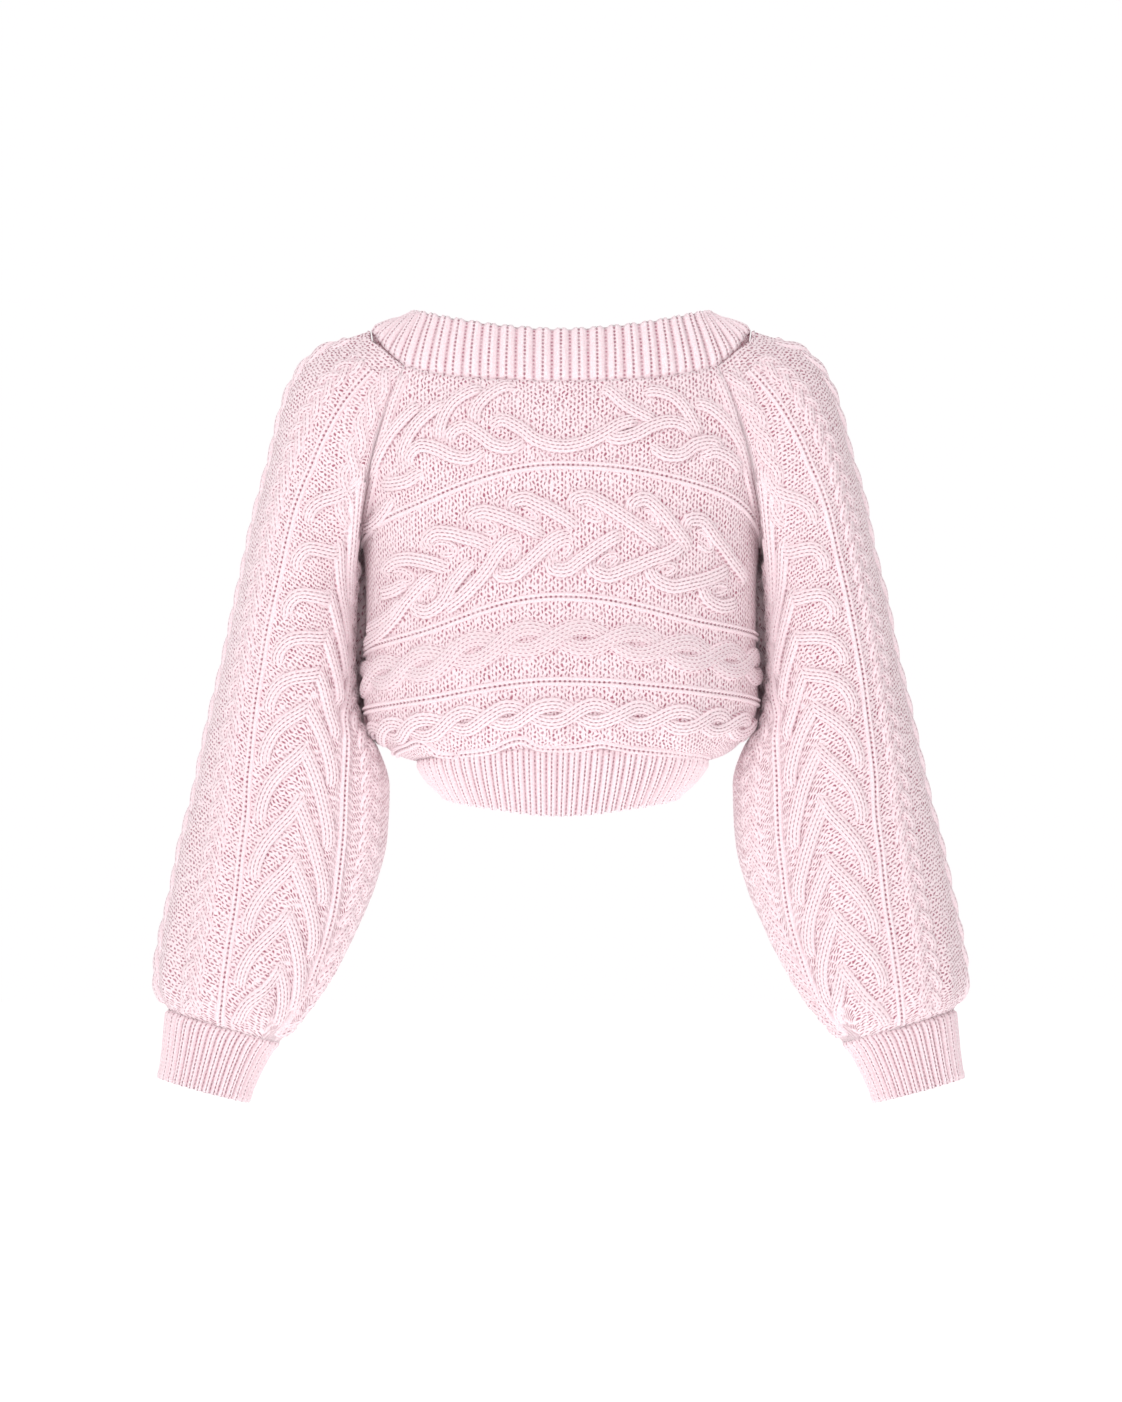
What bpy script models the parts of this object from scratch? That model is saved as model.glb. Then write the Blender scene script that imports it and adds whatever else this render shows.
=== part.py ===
"""Knit bolero (an open shrug) in cable knit, filled out as if worn.

The garment is hollow: a back, two small fronts, two full sleeves, two ribbed cuffs, and one ribbed
band that runs round the whole opening (neck, front edges and hem), split here into four stretches.

Axes: +X to the right seen from behind, -Y the garment's back, +Z up. The origin is the middle of the
shoulder line, level with the top of the neck band. Sizes are in millimetres and turned to metres as
each mesh is made. "reach" is a distance to the side of the middle, "drop" one below the shoulder line.
"""

import math

import bmesh
import bpy
import numpy as np

MM = 0.001

# Driving dimensions
WALL = 2.6                 # thickness of the cloth's plain layer
SEAM_INSET = 0.2           # each piece stops this far short of a seam
INNER_INSET = 0.35         # and its inner face, which has fewer points, this much more
SEAM_NEAR = 8.0            # pieces whose edges lie closer than this share one seam
SEAM_SPREAD = 4.0          # and edges this far off count much less than touching ones
EDGE_SAMPLES = 6           # places looked at between two points of an edge
FOLD_GAP = 0.45            # and each piece draws back this much where two fold face to face
EDGE_PLAIN = 13.0          # the cloth is plain this close to a side or raglan seam
EDGE_FADE = 18.0           # and its cables rise to their full height over this distance
ARMHOLE_FADE = 36.0        # and how far from its ends a sleeve has them in full
ARMHOLE_FADE_POWER = 1.5   # they rise more slowly at the armhole than at the cuff
BODY_CLEARANCE = 4.0       # least distance from the body to the sleeve, past the armhole
SECTION_POWER = 2.2        # 2 is an ellipse, more is squarer
RIDGE_HEIGHT = 3.2
CABLE_HEIGHT = 5.5
ROPE_HEIGHT = 4.2
STRAND_FLOOR = 0.12        # share of its height that a wide cable keeps where a strand dips
ROPE_FLOOR = 0.4           # and a rope
RIB_HEIGHT = 1.7
CHEVRON_PITCH = 47.0       # one repeat of the wide sleeve and back cable
ROPE_PITCH = 23.5          # one crossing of the narrow ropes and plaits
NECK_RIB = 15.6            # rib repeats, stretched at the neck and drawn in at the hem
FRONT_RIB = 12.6
HEM_RIB = 9.6
CUFF_RIB = 8.6
BAND_STRETCHES = {
    # name: rib repeat, and the shares of the loop where its free edge starts and ends
    "band_neck": (NECK_RIB, -0.300, 0.300),
    "band_front_right": (FRONT_RIB, 0.300, 0.838),
    "band_hem": (HEM_RIB, 0.838, 1.162),
    "band_front_left": (FRONT_RIB, 1.162, 1.700),
}
BACK_STRETCH = 1.15        # cloth round the body for each millimetre seen from behind
BACK_COLUMNS = 38
FRONT_COLUMNS = 8
SLEEVE_ROWS = 50
BAND_BULGE = 3.0
CORNER_COSINE = 0.985      # a seam that turns more than this has a rib column at its corner
BAND_ROWS = (
    # (share of the band's width, share of the rib height)
    (0.0, 0.0),
    (0.14, 1.0),
    (0.55, 1.0),
    (1.0, 1.0),
)

# Horizontal sections of the body, from the shoulder line down
BODY_SECTIONS = (
    # drop, half width, back depth, front depth
    (17.0, 165.0, 40.0, 60.0),
    (46.0, 176.0, 62.0, 84.0),
    (61.0, 178.0, 72.0, 90.0),
    (80.0, 180.0, 82.0, 96.0),
    (110.0, 180.0, 93.0, 104.0),
    (150.0, 176.0, 102.0, 113.0),
    (199.0, 169.0, 108.0, 120.0),
    (250.0, 166.5, 111.0, 121.0),
    (300.0, 167.0, 113.0, 115.0),
    (330.0, 168.5, 112.0, 103.0),
    (352.0, 163.5, 109.0, 86.0),
    (371.0, 149.0, 102.0, 66.0),
    (379.0, 136.0, 97.0, 57.0),
    (384.0, 119.0, 92.0, 50.0),
    (390.0, 100.0, 86.0, 45.0),
)

# Knit lines across the back: drops at the left edge, halfway, middle, halfway and right edge
BACK_LINES = {
    "neck seam": (47.0, 58.0, 61.0, 58.0, 47.0),
    "first ridge": (199.0, 168.0, 133.0, 153.0, 199.0),
    "second ridge": (292.0, 275.0, 244.0, 266.0, 278.0),
    "third ridge": (341.0, 332.0, 315.0, 324.0, 334.0),
    "hem seam": (384.0, 378.0, 371.0, 376.0, 384.0),
}
LINE_STATIONS = (-1.0, -0.5, 0.0, 0.5, 1.0)

# Rows of the back and fronts between two knit lines, and the form that each row raises
ROWS_BETWEEN = (
    # (fraction of the way to the next line, form, place across that form from -1 to 1)
    ((0.0, "plain", 0.0), (0.14, "plait", -0.9), (0.29, "plait", -0.5), (0.44, "plait", 0.0),
     (0.59, "plait", 0.5), (0.74, "plait", 0.9), (0.88, "plain", 0.0)),
    ((0.0, "ridge", 0.0), (0.07, "plain", 0.0), (0.18, "cable", -1.0), (0.34, "cable", -0.5),
     (0.5, "cable", 0.0), (0.66, "cable", 0.5), (0.82, "cable", 1.0), (0.93, "plain", 0.0)),
    ((0.0, "ridge", 0.0), (0.12, "plain", 0.0), (0.26, "rope", -0.9), (0.45, "rope", 0.0),
     (0.64, "rope", 0.9), (0.88, "plain", 0.0)),
    ((0.0, "ridge", 0.0), (0.13, "plain", 0.0), (0.26, "rope", -0.9), (0.45, "rope", 0.0),
     (0.64, "rope", 0.9), (0.80, "plain", 0.0), (0.90, "ridge", 0.0)),
)
ARMHOLE_ROWS = len(ROWS_BETWEEN[0])

# Soft gathers over the hem band: reach, half width and height
HEM_GATHERS = (
    (-113.0, 15.0, 4.5),
    (-62.0, 14.0, 3.0),
    (-12.0, 17.0, 6.0),
    (45.0, 14.0, 4.0),
    (104.0, 16.0, 4.5),
)
GATHER_FADE = 75.0

# Raglan seams as reach at each drop, down to the armpit, and the band's seam on the fronts
RAGLAN_BACK = ((47.0, 133.0), (85.0, 146.0), (125.0, 157.0), (165.0, 165.0), (199.0, 169.0))
RAGLAN_FRONT = ((56.0, 150.0), (95.0, 155.0), (130.0, 161.0), (168.0, 166.5), (199.0, 169.0))
FRONT_SEAM = (
    # drop, reach
    (67.0, 147.5),
    (88.0, 143.0),
    (120.0, 138.5),
    (160.0, 134.0),
    (210.0, 130.0),
    (260.0, 127.0),
    (305.0, 125.0),
    (340.0, 123.0),
    (367.0, 121.0),
    (375.0, 120.3),
    (380.5, 119.5),
)

# The sleeve head meets the neck band between the two raglan seams: reach, forward, drop
SLEEVE_HEAD_BACK = (151.0, -24.0, 30.0)
SLEEVE_HEAD_TOP = (162.0, 2.0, 15.0)
SLEEVE_HEAD_FRONT = (160.0, 30.0, 30.0)

# Free edge of the band, from the middle of the neck round one front to the middle of the hem:
# share of the way along that half, reach, forward, drop
BAND_EDGE = (
    (0.000, 0.0, -50.0, 17.0),
    (0.060, 52.0, -48.0, 13.5),
    (0.115, 94.0, -36.0, 6.5),
    (0.160, 118.0, -15.0, 1.0),
    (0.200, 125.0, 8.0, 0.0),
    (0.250, 122.0, 36.0, 12.0),
    (0.310, 112.0, 60.0, 46.0),
    (0.390, 101.0, 82.0, 100.0),
    (0.475, 92.0, 96.0, 165.0),
    (0.560, 86.0, 103.0, 230.0),
    (0.640, 83.0, 101.0, 290.0),
    (0.710, 85.0, 86.0, 344.0),
    (0.765, 92.0, 58.0, 384.0),
    (0.825, 100.0, 16.0, 406.0),
    (0.880, 97.0, -26.0, 413.0),
    (0.930, 66.0, -62.0, 420.5),
    (1.000, 0.0, -84.0, 428.0),
)

# Sleeve rings, shoulder to cuff, with the side angles where three knit lines run
SLEEVE_RINGS = (
    # outer reach and drop, inner reach and drop, half depth at the back and at the front, forward,
    # and the side angles of ridge, cable and inner ridge
    (162.0, 15.0, 169.0, 199.0, 48.0, 50.0, 0.0, 38.0, 60.0, 100.0),
    (209.0, 33.0, 172.0, 211.0, 54.0, 56.0, 0.0, 60.0, 96.0, 126.0),
    (229.0, 59.0, 174.0, 224.0, 59.0, 60.0, 1.0, 67.0, 110.0, 141.0),
    (239.0, 87.0, 175.5, 240.0, 62.0, 63.0, 2.0, 70.0, 118.0, 150.0),
    (248.0, 122.0, 176.5, 259.0, 65.0, 66.0, 3.0, 69.0, 121.0, 156.0),
    (258.0, 161.0, 177.0, 283.0, 67.0, 68.0, 4.0, 68.0, 122.0, 159.0),
    (268.0, 206.0, 176.5, 307.0, 68.0, 69.0, 6.0, 66.0, 120.0, 157.0),
    (278.0, 249.0, 174.5, 331.0, 69.0, 70.0, 8.0, 64.5, 115.0, 150.0),
    (288.0, 297.0, 168.5, 352.0, 69.0, 70.0, 11.0, 63.0, 105.0, 137.0),
    (297.5, 337.0, 156.0, 372.0, 69.0, 70.0, 13.0, 62.0, 99.0, 129.0),
    (308.0, 383.0, 147.0, 405.0, 68.0, 70.0, 15.0, 62.4, 95.4, 123.0),
    (315.0, 416.0, 148.8, 448.0, 67.0, 69.0, 17.0, 65.0, 96.0, 124.0),
    (325.0, 454.0, 159.0, 490.0, 66.0, 68.0, 20.0, 69.0, 100.0, 129.0),
    (333.0, 492.0, 174.3, 526.0, 64.0, 66.0, 23.0, 73.5, 105.8, 136.0),
    (341.0, 530.0, 193.0, 562.0, 61.0, 63.0, 26.0, 78.0, 113.0, 141.0),
    (345.0, 564.0, 214.0, 591.0, 55.0, 57.0, 28.0, 83.0, 122.0, 146.0),
    (343.0, 584.0, 231.0, 611.0, 47.0, 48.0, 29.0, 87.0, 130.0, 150.0),
    (336.6, 596.0, 241.4, 624.0, 38.0, 39.0, 30.0, 89.0, 134.0, 151.0),
)
LINE_ANGLES = (65.0, 95.0, 124.5)       # the same three lines on a level ring
HEAD_FADE_RINGS = 4.5                   # the armhole's own shape fades out over these rings

# Columns round half a sleeve, from its outer line to the underarm
SLEEVE_COLUMNS = (
    # angle on a level ring, form, place across that form
    (0.0, "rope", 0.0),
    (18.0, "plain", 0.0),
    (41.0, "plain", 0.0),
    (49.0, "rope", 0.0),
    (58.0, "plain", 0.0),
    (65.0, "ridge", 0.0),
    (72.0, "cable", -1.0),
    (84.0, "cable", -0.5),
    (95.0, "cable", 0.0),
    (107.0, "cable", 0.5),
    (118.0, "cable", 1.0),
    (124.5, "ridge", 0.0),
    (131.0, "plain", 0.0),
    (146.0, "rope", 0.0),
    (161.0, "plain", 0.0),
    (180.0, "plain", 0.0),
)
RAGLAN_TOP_COLUMN = 8                   # the wide cable starts where raglan seam and neck seam meet
CUFF_GATHERS = 11                       # soft pleats where the full sleeve is drawn into the cuff
CUFF_GATHER_HEIGHT = 4.5
CUFF_GATHER_TOP = 16.0                  # the pleats are highest this far above the cuff
CUFF_GATHER_FADE = 55.0

CUFF_RINGS = (
    # outer reach, outer drop, inner reach, inner drop, half depth, forward
    (336.6, 596.0, 241.4, 624.0, 38.5, 30.0),
    (337.6, 604.0, 248.0, 630.0, 36.5, 30.5),
    (340.0, 630.0, 260.5, 652.0, 34.0, 32.0),
    (343.4, 655.0, 270.3, 675.0, 32.0, 33.5),
)

KNIT_COLOUR = (0.86, 0.70, 0.745)
RIB_COLOUR = (0.87, 0.71, 0.755)
YARN_ROUGHNESS = 0.92


def through(at, knots, values):
    """Smooth curve through a table's rows that never overshoots them."""
    at = np.atleast_1d(np.asarray(at, float))
    knots = np.asarray(knots, float)
    values = np.asarray(values, float)
    if values.ndim == 1:
        values = values[:, None]
    step = np.diff(knots)[:, None]
    rise = np.diff(values, axis=0) / step
    before, after = rise[:-1], rise[1:]
    same_way = before * after > 0.0
    total = np.where(same_way, before + after, 1.0)
    slope = np.vstack((rise[:1], np.where(same_way, 2.0 * before * after / total, 0.0), rise[-1:]))
    place = np.clip(np.searchsorted(knots, at, side="right") - 1, 0, len(knots) - 2)
    span = step[place]
    t = np.clip((at - knots[place])[:, None] / span, 0.0, 1.0)
    start = values[place] * (1.0 + 2.0 * t) * (1.0 - t) ** 2 + slope[place] * span * t * (1.0 - t) ** 2
    end = values[place + 1] * t * t * (3.0 - 2.0 * t) + slope[place + 1] * span * t * t * (t - 1.0)
    return np.squeeze(start + end)


def unit(vectors):
    """Vectors at length one."""
    length = np.linalg.norm(vectors, axis=-1, keepdims=True)
    return vectors / np.maximum(length, 1e-9)


def column_of(table, index):
    """One column of a table of rows."""
    return [row[index] for row in table]


def body_size(drop, index):
    """Half width (1), back depth (2) or front depth (3) of the body at a drop."""
    return through(drop, column_of(BODY_SECTIONS, 0), column_of(BODY_SECTIONS, index))


def body_point(angle, drop):
    """Point of the body's outer form: angle 0 is the middle of the back, 90 degrees the side."""
    power = 2.0 / SECTION_POWER
    sine, cosine = np.sin(angle), np.cos(angle)
    depth = np.where(cosine > 0.0, body_size(drop, 2), body_size(drop, 3))
    x = body_size(drop, 1) * np.sign(sine) * np.abs(sine) ** power
    y = -depth * np.sign(cosine) * np.abs(cosine) ** power
    return np.stack((x, y, -np.asarray(drop) + 0.0 * x), axis=-1)


def body_angle(reach, drop, on_front):
    """Angle at which the body's form has a given reach."""
    share = np.clip(np.asarray(reach) / body_size(drop, 1), 0.0, 1.0)
    angle = np.arcsin(share ** (SECTION_POWER / 2.0))
    return math.pi - angle if on_front else angle


def body_rows():
    """Every row of the back and fronts: position along the knit lines, form, place across it."""
    rows = []
    for line, between in enumerate(ROWS_BETWEEN):
        rows += [(line + fraction, form, place) for fraction, form, place in between]
    rows.append((float(len(ROWS_BETWEEN)), "plain", 0.0))
    return rows


def line_drop(position, station):
    """Drop of the knit rows at a place between lines and a station across the back."""
    lines = list(BACK_LINES.values())
    first = min(int(position), len(lines) - 2)
    share = position - first
    above = through(station, LINE_STATIONS, lines[first])
    below = through(station, LINE_STATIONS, lines[first + 1])
    return above * (1.0 - share) + below * share


def cable_height(form, along, across):
    """Height of a knit form above the plain cloth, along it in mm and across it from -1 to 1."""
    if form == "ridge":
        return RIDGE_HEIGHT + 0.0 * along
    if form == "rope":
        twist = np.abs(np.sin(math.pi * along / ROPE_PITCH - 0.6 * across))
        return ROPE_HEIGHT * (1.0 - 0.75 * across * across) * (ROPE_FLOOR + (1.0 - ROPE_FLOOR) * twist)
    if form == "plait":
        weave = np.sin(math.pi * (along / CHEVRON_PITCH + 0.5 * across)) ** 2
        return CABLE_HEIGHT * (1.0 - 0.6 * across ** 4) * (STRAND_FLOOR + (1.0 - STRAND_FLOOR) * weave)
    if form == "cable":
        strand = np.sin(math.pi * (along / CHEVRON_PITCH - 0.5 * abs(across))) ** 2
        return CABLE_HEIGHT * (1.0 - 0.6 * across ** 4) * (STRAND_FLOOR + (1.0 - STRAND_FLOOR) * strand)
    return 0.0 * along


def away_from_sides(points):
    """Share of the cables' height at each point of a panel, nought by its side edges."""
    share = np.ones(points.shape[:2])
    for edge in (points[:, 0], points[:, -1]):
        distance = np.linalg.norm(points[:, :, None] - edge, axis=3).min(axis=2)
        share = np.minimum(share, np.clip((distance - EDGE_PLAIN) / EDGE_FADE, 0.0, 1.0))
    return share


def back_panel():
    """Outer points of the back and the heights raised on them."""
    stations = np.linspace(-1.0, 1.0, BACK_COLUMNS + 1)
    points, heights = [], []
    for position, form, place in body_rows():
        drop = line_drop(position, stations)
        edge = line_drop(position, 1.0)
        reach = through(edge, column_of(RAGLAN_BACK, 0), column_of(RAGLAN_BACK, 1))
        widest = body_angle(reach, edge, False) if position < 1.0 else math.pi / 2.0
        row = body_point(widest * stations, drop)
        points.append(row)
        height = cable_height(form, -BACK_STRETCH * row[:, 0], place)
        above_hem = line_drop(float(len(ROWS_BETWEEN)), stations) - drop
        for reach_here, half_width, rise in HEM_GATHERS:
            hump = np.exp(-((row[:, 0] - reach_here) / half_width) ** 2)
            height = height + rise * hump * np.exp(-(above_hem / GATHER_FADE) ** 2)
        heights.append(height)
    return np.array(points), np.array(heights)


def side_drops(side):
    """Drop of each body row at the side seam (side is -1 left, 1 right)."""
    return np.array([float(line_drop(position, float(side))) for position, _, _ in body_rows()])


def front_panel(side):
    """Outer points of one front, from its raglan and side seam to the band, and their heights."""
    drops = side_drops(side)
    top, bottom = RAGLAN_FRONT[0][0], drops[-1]
    points, heights = [], []
    shares = np.linspace(0.0, 1.0, FRONT_COLUMNS + 1)
    for index, (position, form, place) in enumerate(body_rows()):
        drop = drops[index]
        start_angle = math.pi / 2.0
        if index < ARMHOLE_ROWS:
            way = (drop - drops[0]) / (drops[ARMHOLE_ROWS] - drops[0])
            drop = top + way * (drops[ARMHOLE_ROWS] - top)
            reach = through(drop, column_of(RAGLAN_FRONT, 0), column_of(RAGLAN_FRONT, 1))
            start_angle = body_angle(reach, drop, True)
        share_down = (drop - top) / (bottom - top)
        band_drop = FRONT_SEAM[0][0] + share_down * (FRONT_SEAM[-1][0] - FRONT_SEAM[0][0])
        band_reach = through(band_drop, column_of(FRONT_SEAM, 0), column_of(FRONT_SEAM, 1))
        end_angle = body_angle(band_reach, band_drop, True)
        angle = start_angle + (end_angle - start_angle) * shares
        row = body_point(angle, drop + (band_drop - drop) * shares)
        points.append(row)
        heights.append(cable_height(form, BACK_STRETCH * row[:, 1], place))
    points = np.array(points) * np.array((side, 1.0, 1.0))
    heights = np.array(heights) * away_from_sides(points)
    heights[(0, -1), :] = 0.0
    return points, heights


def half_head(end, middle):
    """Edge of one half of the sleeve head, from its top to a raglan seam."""
    top = np.array(SLEEVE_HEAD_TOP) * np.array((1.0, 1.0, -1.0))
    knots = np.array((top, np.array(middle) * np.array((1.0, 1.0, -1.0)), end))
    columns = column_of(SLEEVE_COLUMNS, 0)[:RAGLAN_TOP_COLUMN + 1]
    return through(np.array(columns) / columns[-1], (0.0, 0.5, 1.0), knots)


def armhole_loop(back, front, side):
    """The armhole, from the top of the sleeve head down the back to the armpit and up the front."""
    mirror = np.array((side, 1.0, 1.0))
    back_edge = back[:ARMHOLE_ROWS + 1, -1 if side > 0 else 0] * mirror
    front_edge = front[:ARMHOLE_ROWS + 1, 0] * mirror
    behind = half_head(back_edge[0], SLEEVE_HEAD_BACK)
    ahead = half_head(front_edge[0], SLEEVE_HEAD_FRONT)
    down = np.vstack((behind, back_edge[1:]))
    up = np.vstack((front_edge[:-1][::-1], ahead[1:-1][::-1]))
    return np.vstack((down, up))


def sleeve_angles(ring, level):
    """Side angle of a sleeve column on a ring, given its angle on a level ring."""
    lines = through(ring, range(len(SLEEVE_RINGS)), [row[7:10] for row in SLEEVE_RINGS])
    return through(level, (0.0,) + LINE_ANGLES + (180.0,), (0.0, *lines, 180.0))


def sleeve_ring(ring, levels):
    """Points of one ring at the level angles of its columns; past 180 degrees is the front half."""
    size = through(ring, range(len(SLEEVE_RINGS)), [row[:7] for row in SLEEVE_RINGS])
    outer = np.array((size[0], size[6], -size[1]))
    inner = np.array((size[2], size[6], -size[3]))
    on_front = levels > 180.0
    half = np.where(on_front, 360.0 - levels, levels)
    angle = np.radians(sleeve_angles(ring, half))
    depth = np.where(on_front, size[5], -size[4]) * np.sin(angle)
    centre, arm = (outer + inner) / 2.0, (outer - inner) / 2.0
    points = centre + arm * np.cos(angle)[:, None]
    points[:, 1] += depth
    return points


def clear_of_body(points, gap):
    """Move the inner side of a right sleeve's ring out until it clears the body's side."""
    drop = np.clip(-points[:, 2], BODY_SECTIONS[0][0], BODY_SECTIONS[-1][0])
    depth = np.where(points[:, 1] < 0.0, body_size(drop, 2), body_size(drop, 3))
    share = np.clip(np.abs(points[:, 1]) / depth, 0.0, 1.0)
    side = body_size(drop, 1) * (1.0 - share ** SECTION_POWER) ** (1.0 / SECTION_POWER)
    cleared = points.copy()
    cleared[:, 0] = np.maximum(points[:, 0], side + gap)
    return cleared


def sleeve_panel(loop, side):
    """Outer points of one sleeve, from the armhole to the cuff, and the heights raised on them."""
    columns = SLEEVE_COLUMNS + tuple((360.0 - a, f, p) for a, f, p in SLEEVE_COLUMNS[-2:0:-1])
    levels = np.array(column_of(columns, 0))
    start = loop - sleeve_ring(0.0, levels)
    last = len(SLEEVE_RINGS) - 1
    middles = np.array([[(r[0] + r[2]) / 2.0, (r[1] + r[3]) / 2.0] for r in SLEEVE_RINGS])
    outers = np.array([r[:2] for r in SLEEVE_RINGS])
    ways = [np.linalg.norm(np.diff(line, axis=0), axis=1) for line in (middles, outers)]
    length = np.concatenate(((0.0,), np.cumsum((ways[0] + ways[1]) / 2.0)))
    points, heights = [], []
    for along in np.linspace(0.0, length[-1], SLEEVE_ROWS + 1):
        ring = float(through(along, length, range(last + 1)))
        fade = max(0.0, 1.0 - ring / HEAD_FADE_RINGS)
        row = sleeve_ring(ring, levels) + start * fade * fade * (3.0 - 2.0 * fade)
        row = clear_of_body(row, BODY_CLEARANCE * min(1.0, along / ARMHOLE_FADE))
        height = np.array([float(cable_height(form, np.array(along), place)) for _, form, place in columns])
        left = length[-1] - along
        height *= min(1.0, (along / ARMHOLE_FADE) ** ARMHOLE_FADE_POWER, left / ARMHOLE_FADE)
        pleat = 0.5 + 0.5 * np.cos(np.radians(levels) * CUFF_GATHERS)
        upwards = math.exp(-((left - CUFF_GATHER_TOP) / CUFF_GATHER_FADE) ** 2)
        height += CUFF_GATHER_HEIGHT * pleat * upwards * min(1.0, left / CUFF_GATHER_TOP)
        points.append(row)
        heights.append(height)
    return np.array(points) * np.array((side, 1.0, 1.0)), np.array(heights)


def rib_profile(count):
    """Places of the columns of a run of ribs, from 0 to 1, and whether each one is raised."""
    places, raised = [], []
    for rib in range(count):
        for share, high in ((0.0, 0.0), (0.22, 1.0), (0.78, 1.0)):
            places.append((rib + share) / count)
            raised.append(high)
    return np.array(places), np.array(raised)


def cuff_panel(sleeve_end, side):
    """Outer points of one cuff, which starts on the sleeve's last ring, and the heights of its ribs."""
    ring = np.vstack((sleeve_end, sleeve_end[:1])) * np.array((side, 1.0, 1.0))
    around = np.linalg.norm(np.diff(ring, axis=0), axis=1).sum()
    places, raised = rib_profile(int(around / CUFF_RIB))
    top = polyline(ring, places)
    points, heights = [top], [0.0 * raised]
    for index, (out_x, out_z, in_x, in_z, depth, forward) in enumerate(CUFF_RINGS):
        outer, inner = np.array((out_x, forward, -out_z)), np.array((in_x, forward, -in_z))
        centre, arm = (outer + inner) / 2.0, (outer - inner) / 2.0
        if index == 0:
            away = top - centre
            angle = np.arctan2(-away[:, 1] / depth, (away @ arm) / (arm @ arm))
            continue
        row = centre + arm * np.cos(angle)[:, None]
        row[:, 1] -= depth * np.sin(angle)
        points.append(row)
        heights.append(RIB_HEIGHT * raised)
    return np.array(points) * np.array((side, 1.0, 1.0)), np.array(heights)


def polyline(points, at):
    """Points of an open polyline at shares of its length."""
    steps = np.linalg.norm(np.diff(points, axis=0), axis=1)
    length = np.concatenate(((0.0,), np.cumsum(steps)))
    return np.stack([np.interp(np.asarray(at) * length[-1], length, points[:, k]) for k in range(3)], axis=1)


def edge_point(shares):
    """Points of the band's free edge, at shares of the loop.

    0 is the middle of the neck, 1 the middle of the hem on the right's way round, and 2 the neck again.
    """
    around = np.mod(shares, 2.0)
    side = np.where(around > 1.0, -1.0, 1.0)
    half = np.where(around > 1.0, 2.0 - around, around)
    before, after = BAND_EDGE[1], BAND_EDGE[-2]
    rows = ((-before[0], -before[1], *before[2:]), *BAND_EDGE, (2.0 - after[0], -after[1], *after[2:]))
    sizes = through(half, column_of(rows, 0), [row[1:] for row in rows])
    return np.stack((side * sizes[:, 0], sizes[:, 1], -sizes[:, 2]), axis=-1)


def corner_shares(points):
    """Shares of an open polyline's length at which it turns a corner."""
    steps = np.diff(points, axis=0)
    length = np.cumsum(np.linalg.norm(steps, axis=1))
    turn = (unit(steps[1:]) * unit(steps[:-1])).sum(axis=1)
    return (length[:-1] / length[-1])[turn < CORNER_COSINE]


def band_pieces(seams):
    """The stretches of the band: outer points between the seam and the free edge, and rib heights."""
    starts, frees, raised, cuts = [], [], [], [0]
    for name, (repeat, first, last) in BAND_STRETCHES.items():
        seam = seams[name]
        length = np.linalg.norm(np.diff(seam, axis=0), axis=1).sum()
        places, high = rib_profile(int(round(length / repeat)))
        for corner in corner_shares(seam):
            places[1 + np.abs(places[1:] - corner).argmin()] = corner
        starts.append(polyline(seam, places))
        frees.append(edge_point(first + (last - first) * places))
        raised.append(high)
        cuts.append(cuts[-1] + len(places))
    start, free, raised = np.vstack(starts), np.vstack(frees), np.concatenate(raised)
    forward = np.roll(start, -1, axis=0) - np.roll(start, 1, axis=0)
    outward = -towards_axis(np.cross(forward, free - start), start)
    stretches = {}
    for name, first, last in zip(BAND_STRETCHES, cuts, cuts[1:]):
        columns = np.arange(first, last + 1) % len(start)
        points, heights = [], []
        for share, high in BAND_ROWS:
            bulge = BAND_BULGE * 4.0 * share * (1.0 - share)
            row = start * (1.0 - share) + free * share + outward * bulge
            points.append(row[columns])
            heights.append(RIB_HEIGHT * raised[columns] * high)
        stretches[name] = (np.array(points), np.array(heights))
    return stretches


def towards_axis(directions, points):
    """Unit directions, all turned to the side on which most of them face the body's axis."""
    facing = -(directions[..., :2] * points[..., :2]).sum()
    return unit(directions) * (1.0 if facing > 0.0 else -1.0)


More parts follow.
